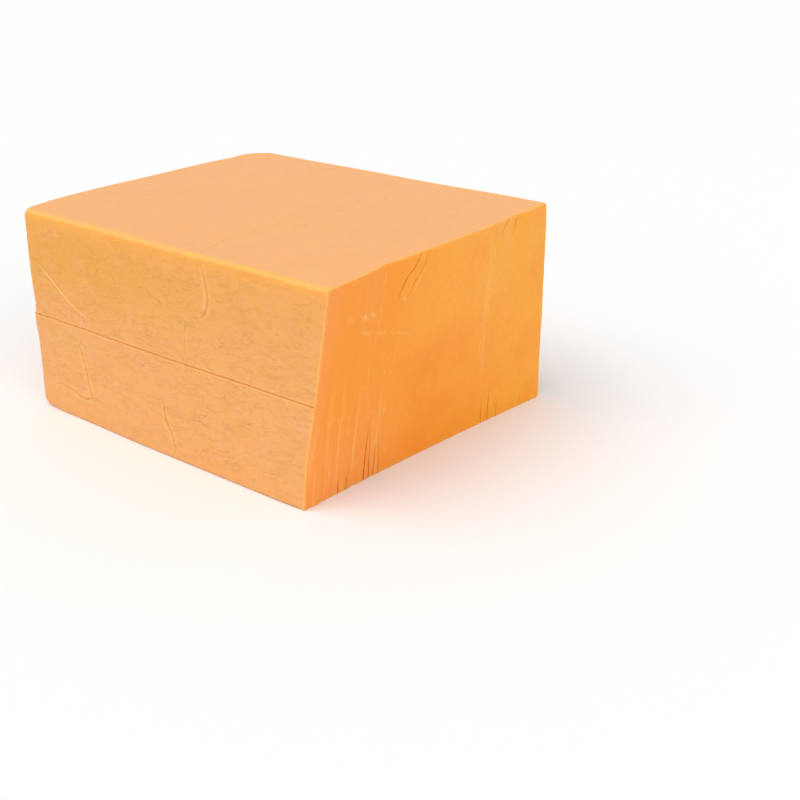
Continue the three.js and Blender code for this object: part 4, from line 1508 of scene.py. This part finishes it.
def scatter_group():
    """Crumbs on the cut where it is crumbly, each turned and sized by chance."""
    w, entry, leaving = new_group("Scatter crumbs", {
        "Geometry": "Geometry", "Crumb": "Object", "Density": "Float", "Size": "Float",
        "Seed": "Int", "Material": "Material",
    }, {"Geometry": "Geometry"})
    density = w.times(w.stored("crumbly"), entry["Density"])
    spots = w.add("GeometryNodeDistributePointsOnFaces", {
        "Mesh": entry["Geometry"], "Density": density, "Seed": entry["Seed"]})
    crumb = w.add("GeometryNodeObjectInfo", {"Object": entry["Crumb"], "As Instance": True})
    turn = w.add("FunctionNodeRandomValue", {0: (0, 0, 0), 1: CRUMB_TURN, "Seed": entry["Seed"]},
                 data_type="FLOAT_VECTOR").outputs[0]
    chance = w.add("FunctionNodeRandomValue", {"Min": 0.0, "Max": 1.0, "Seed": entry["Seed"]},
                   data_type="FLOAT").outputs[1]
    least, more = CRUMB_SIZES
    share = w.plus(w.times(w.math("POWER", chance, CRUMB_RARITY), more), least)
    placed = w.add("GeometryNodeInstanceOnPoints", {
        "Points": spots.outputs["Points"], "Instance": crumb.outputs["Geometry"], "Rotation": turn,
        "Scale": w.times(entry["Size"], share)})
    w.feed(leaving["Geometry"], w.finished(placed.outputs[0], entry["Material"]))
    return w.tree


def crumb_seedling():
    """One small uneven crumb, a unit across."""
    wander = np.random.default_rng(CRUMB_DRAW)
    shape = bmesh.new()
    bmesh.ops.create_icosphere(shape, subdivisions=1, radius=0.5)
    for corner in shape.verts:
        corner.co *= 1 + CRUMB_UNEVEN * wander.uniform(-1, 1)
        corner.co.z *= CRUMB_FLAT
    mesh = bpy.data.meshes.new("crumb_seedling")
    shape.to_mesh(mesh)
    shape.free()
    return new_object("crumb_seedling", mesh)


def host_on_cut(shift):
    """A plain sheet that lies on the cut face and says how crumbly each place is."""
    across, up = np.meshgrid(np.linspace(*HOST_ACROSS), np.linspace(*HOST_UP))
    rows, columns = across.shape
    y, z = across.ravel(), up.ravel()
    points = (onto_cut(np.stack([y, z], axis=1)) + shift) * MM
    corner = (np.arange(rows - 1)[:, None] * columns + np.arange(columns - 1)).ravel()
    faces = np.stack([corner, corner + 1, corner + columns + 1, corner + columns], axis=1)
    mesh = new_mesh("cut_host", points, faces=faces.tolist())
    crumbly = sum(strength * np.exp(-((y - at_y) / wide) ** 2 - ((z - at_z) / tall) ** 2)
                  for at_y, at_z, wide, tall, strength in CRUMBLY)
    write_numbers(mesh, "crumbly", crumbly)
    return new_object("cut_host", mesh)


def discard(*objects):
    """Removes helper objects that aren't part of the scene."""
    for helper in objects:
        bpy.data.objects.remove(helper)


class CHEDDAR_OT_camera(bpy.types.Operator):
    """Set the camera at the picture's place"""

    bl_idname = "cheddar.camera"
    bl_label = "Camera"

    def execute(self, context):
        level = Vector((math.cos(CAMERA_AZIMUTH), math.sin(CAMERA_AZIMUTH), 0))
        flat = Vector((-math.sin(CAMERA_AZIMUTH), math.cos(CAMERA_AZIMUTH), 0))
        ahead = flat * math.cos(CAMERA_FALL) - Vector((0, 0, math.sin(CAMERA_FALL)))
        down = ahead.cross(level)
        right = level * math.cos(CAMERA_ROLL) + down * math.sin(CAMERA_ROLL)
        up = level * math.sin(CAMERA_ROLL) - down * math.cos(CAMERA_ROLL)
        lens = bpy.data.cameras.new("camera")
        lens.lens = CAMERA_LENS
        lens.sensor_width = SENSOR_WIDTH
        camera = new_object("camera", lens)
        turn = Matrix((right, up, -ahead)).transposed().to_4x4()
        camera.matrix_world = Matrix.Translation(CAMERA_PLACE) @ turn
        context.scene.camera = camera
        return {"FINISHED"}


class CHEDDAR_OT_block(bpy.types.Operator):
    """Make the block with its creased skin and its dragged cut"""

    bl_idname = "cheddar.block"
    bl_label = "Block"

    def execute(self, context):
        sizes = context.scene.cheddar_sizes
        colours = context.scene.cheddar_colours
        lines = {
            "Seam": seam_lines(),
            "Creases": skin_lines("crease_lines", CREASES, -1),
            "Folds": skin_lines("fold_lines", FOLDS),
            "Lip": skin_lines("lip_lines", (LIP,)),
            "Marks": mark_lines(),
        }
        bare, shift = bare_block([lines["Creases"], lines["Folds"], lines["Marks"]])
        helpers = {name: kind.to_object(shift) for name, kind in lines.items()}
        paste = paste_material(colours)
        block = apply_tree(bare, dress_group(), {
            **helpers,
            "Wrinkle Height": sizes.wrinkle_height, "Wrinkle Size": sizes.wrinkle_size,
            "Drag Height": sizes.drag_height, "Drag Pitch": sizes.drag_pitch,
            "Skin": skin_material(colours), "Paste": paste,
        }, "cheddar_body")
        discard(bare, *helpers.values())
        open_splits(block, paste, shift)
        block.data.set_sharp_from_angle(angle=SHARP_ANGLE)
        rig.ride(block, BODY)
        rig.replaces(block, NODE)
        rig.slot(block, SLOT)
        context.scene["cheddar_shift"] = [float(part) for part in shift]
        return {"FINISHED"}


class CHEDDAR_OT_crumbs(bpy.types.Operator):
    """Scatter crumbs where the cut is crumbly"""

    bl_idname = "cheddar.crumbs"
    bl_label = "Crumbs"

    def execute(self, context):
        sizes = context.scene.cheddar_sizes
        host = host_on_cut(np.array(context.scene["cheddar_shift"]))
        seedling = crumb_seedling()
        crumbs = apply_tree(host, scatter_group(), {
            "Crumb": seedling, "Density": sizes.crumb_density, "Size": sizes.crumb_size,
            "Seed": SCATTER_DRAW, "Material": crumb_material(context.scene.cheddar_colours),
        }, "cut_crumbs")
        discard(host, seedling)
        crumbs.data.shade_smooth()
        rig.ride(crumbs, BODY)
        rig.slot(crumbs, SLOT)
        return {"FINISHED"}


class CHEDDAR_OT_stage(bpy.types.Operator):
    """Lay the floor and hang the lights"""

    bl_idname = "cheddar.stage"
    bl_label = "Stage"

    def execute(self, context):
        bpy.ops.mesh.primitive_plane_add(size=FLOOR_SIZE)
        floor = context.object
        floor.name = "floor"
        material, _, shader = new_material("Pale floor")
        shader.inputs["Base Color"].default_value = rgba(context.scene.cheddar_colours.floor)
        shader.inputs["Roughness"].default_value = FLOOR_ROUGHNESS
        floor.data.materials.append(material)
        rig.stage(floor)
        world = bpy.data.worlds.new("soft_white")
        world.use_nodes = True
        sky = world.node_tree.nodes["Background"].inputs
        sky["Color"].default_value = (1, 1, 1, 1)
        sky["Strength"].default_value = WORLD_STRENGTH
        context.scene.world = world
        for name, way, strength in SOFT_LIGHTS:
            add_soft_light(name, way, strength)
        context.scene.view_settings.view_transform = "Standard"
        return {"FINISHED"}


def add_soft_light(name, way, strength):
    """A broad light from far away, as from a large diffuser, that shines from one side of the block."""
    panel = bpy.data.lights.new(name, "SUN")
    panel.angle = SOFT_LIGHT_ANGLE
    panel.energy = strength
    light = new_object(name, panel)
    light.rotation_euler = Vector(way).to_track_quat("Z", "Y").to_euler()


class CHEDDAR_PT_panel(bpy.types.Panel):
    """The steps that make the cheddar block"""

    bl_label = "Cheddar Block"
    bl_idname = "CHEDDAR_PT_panel"
    bl_space_type = "VIEW_3D"
    bl_region_type = "UI"
    bl_category = "Cheddar"

    def draw(self, context):
        for step in STEPS:
            self.layout.operator(step.bl_idname)
        for group in (context.scene.cheddar_sizes, context.scene.cheddar_colours):
            column = self.layout.column(align=True)
            for name in group.__annotations__:
                column.prop(group, name)


STEPS = (CHEDDAR_OT_camera, CHEDDAR_OT_block, CHEDDAR_OT_crumbs, CHEDDAR_OT_stage)
CLASSES = (CheddarSizes, CheddarColours, *STEPS, CHEDDAR_PT_panel)


def register():
    for listed in CLASSES:
        bpy.utils.register_class(listed)
    bpy.types.Scene.cheddar_sizes = bpy.props.PointerProperty(type=CheddarSizes)
    bpy.types.Scene.cheddar_colours = bpy.props.PointerProperty(type=CheddarColours)


def unregister():
    del bpy.types.Scene.cheddar_sizes
    del bpy.types.Scene.cheddar_colours
    for listed in reversed(CLASSES):
        bpy.utils.unregister_class(listed)


def main():
    register()
    bpy.ops.cheddar.camera()
    bpy.ops.cheddar.block()
    bpy.ops.cheddar.crumbs()
    bpy.ops.cheddar.stage()
    sizes = {"cad_box": CAD_BOX, "visual_box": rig.bounds()}
    with open("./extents.json", "w") as file:
        json.dump({name: [list(corner) for corner in box] for name, box in sizes.items()}, file, indent=1)


if __name__ == "__main__":
    main()
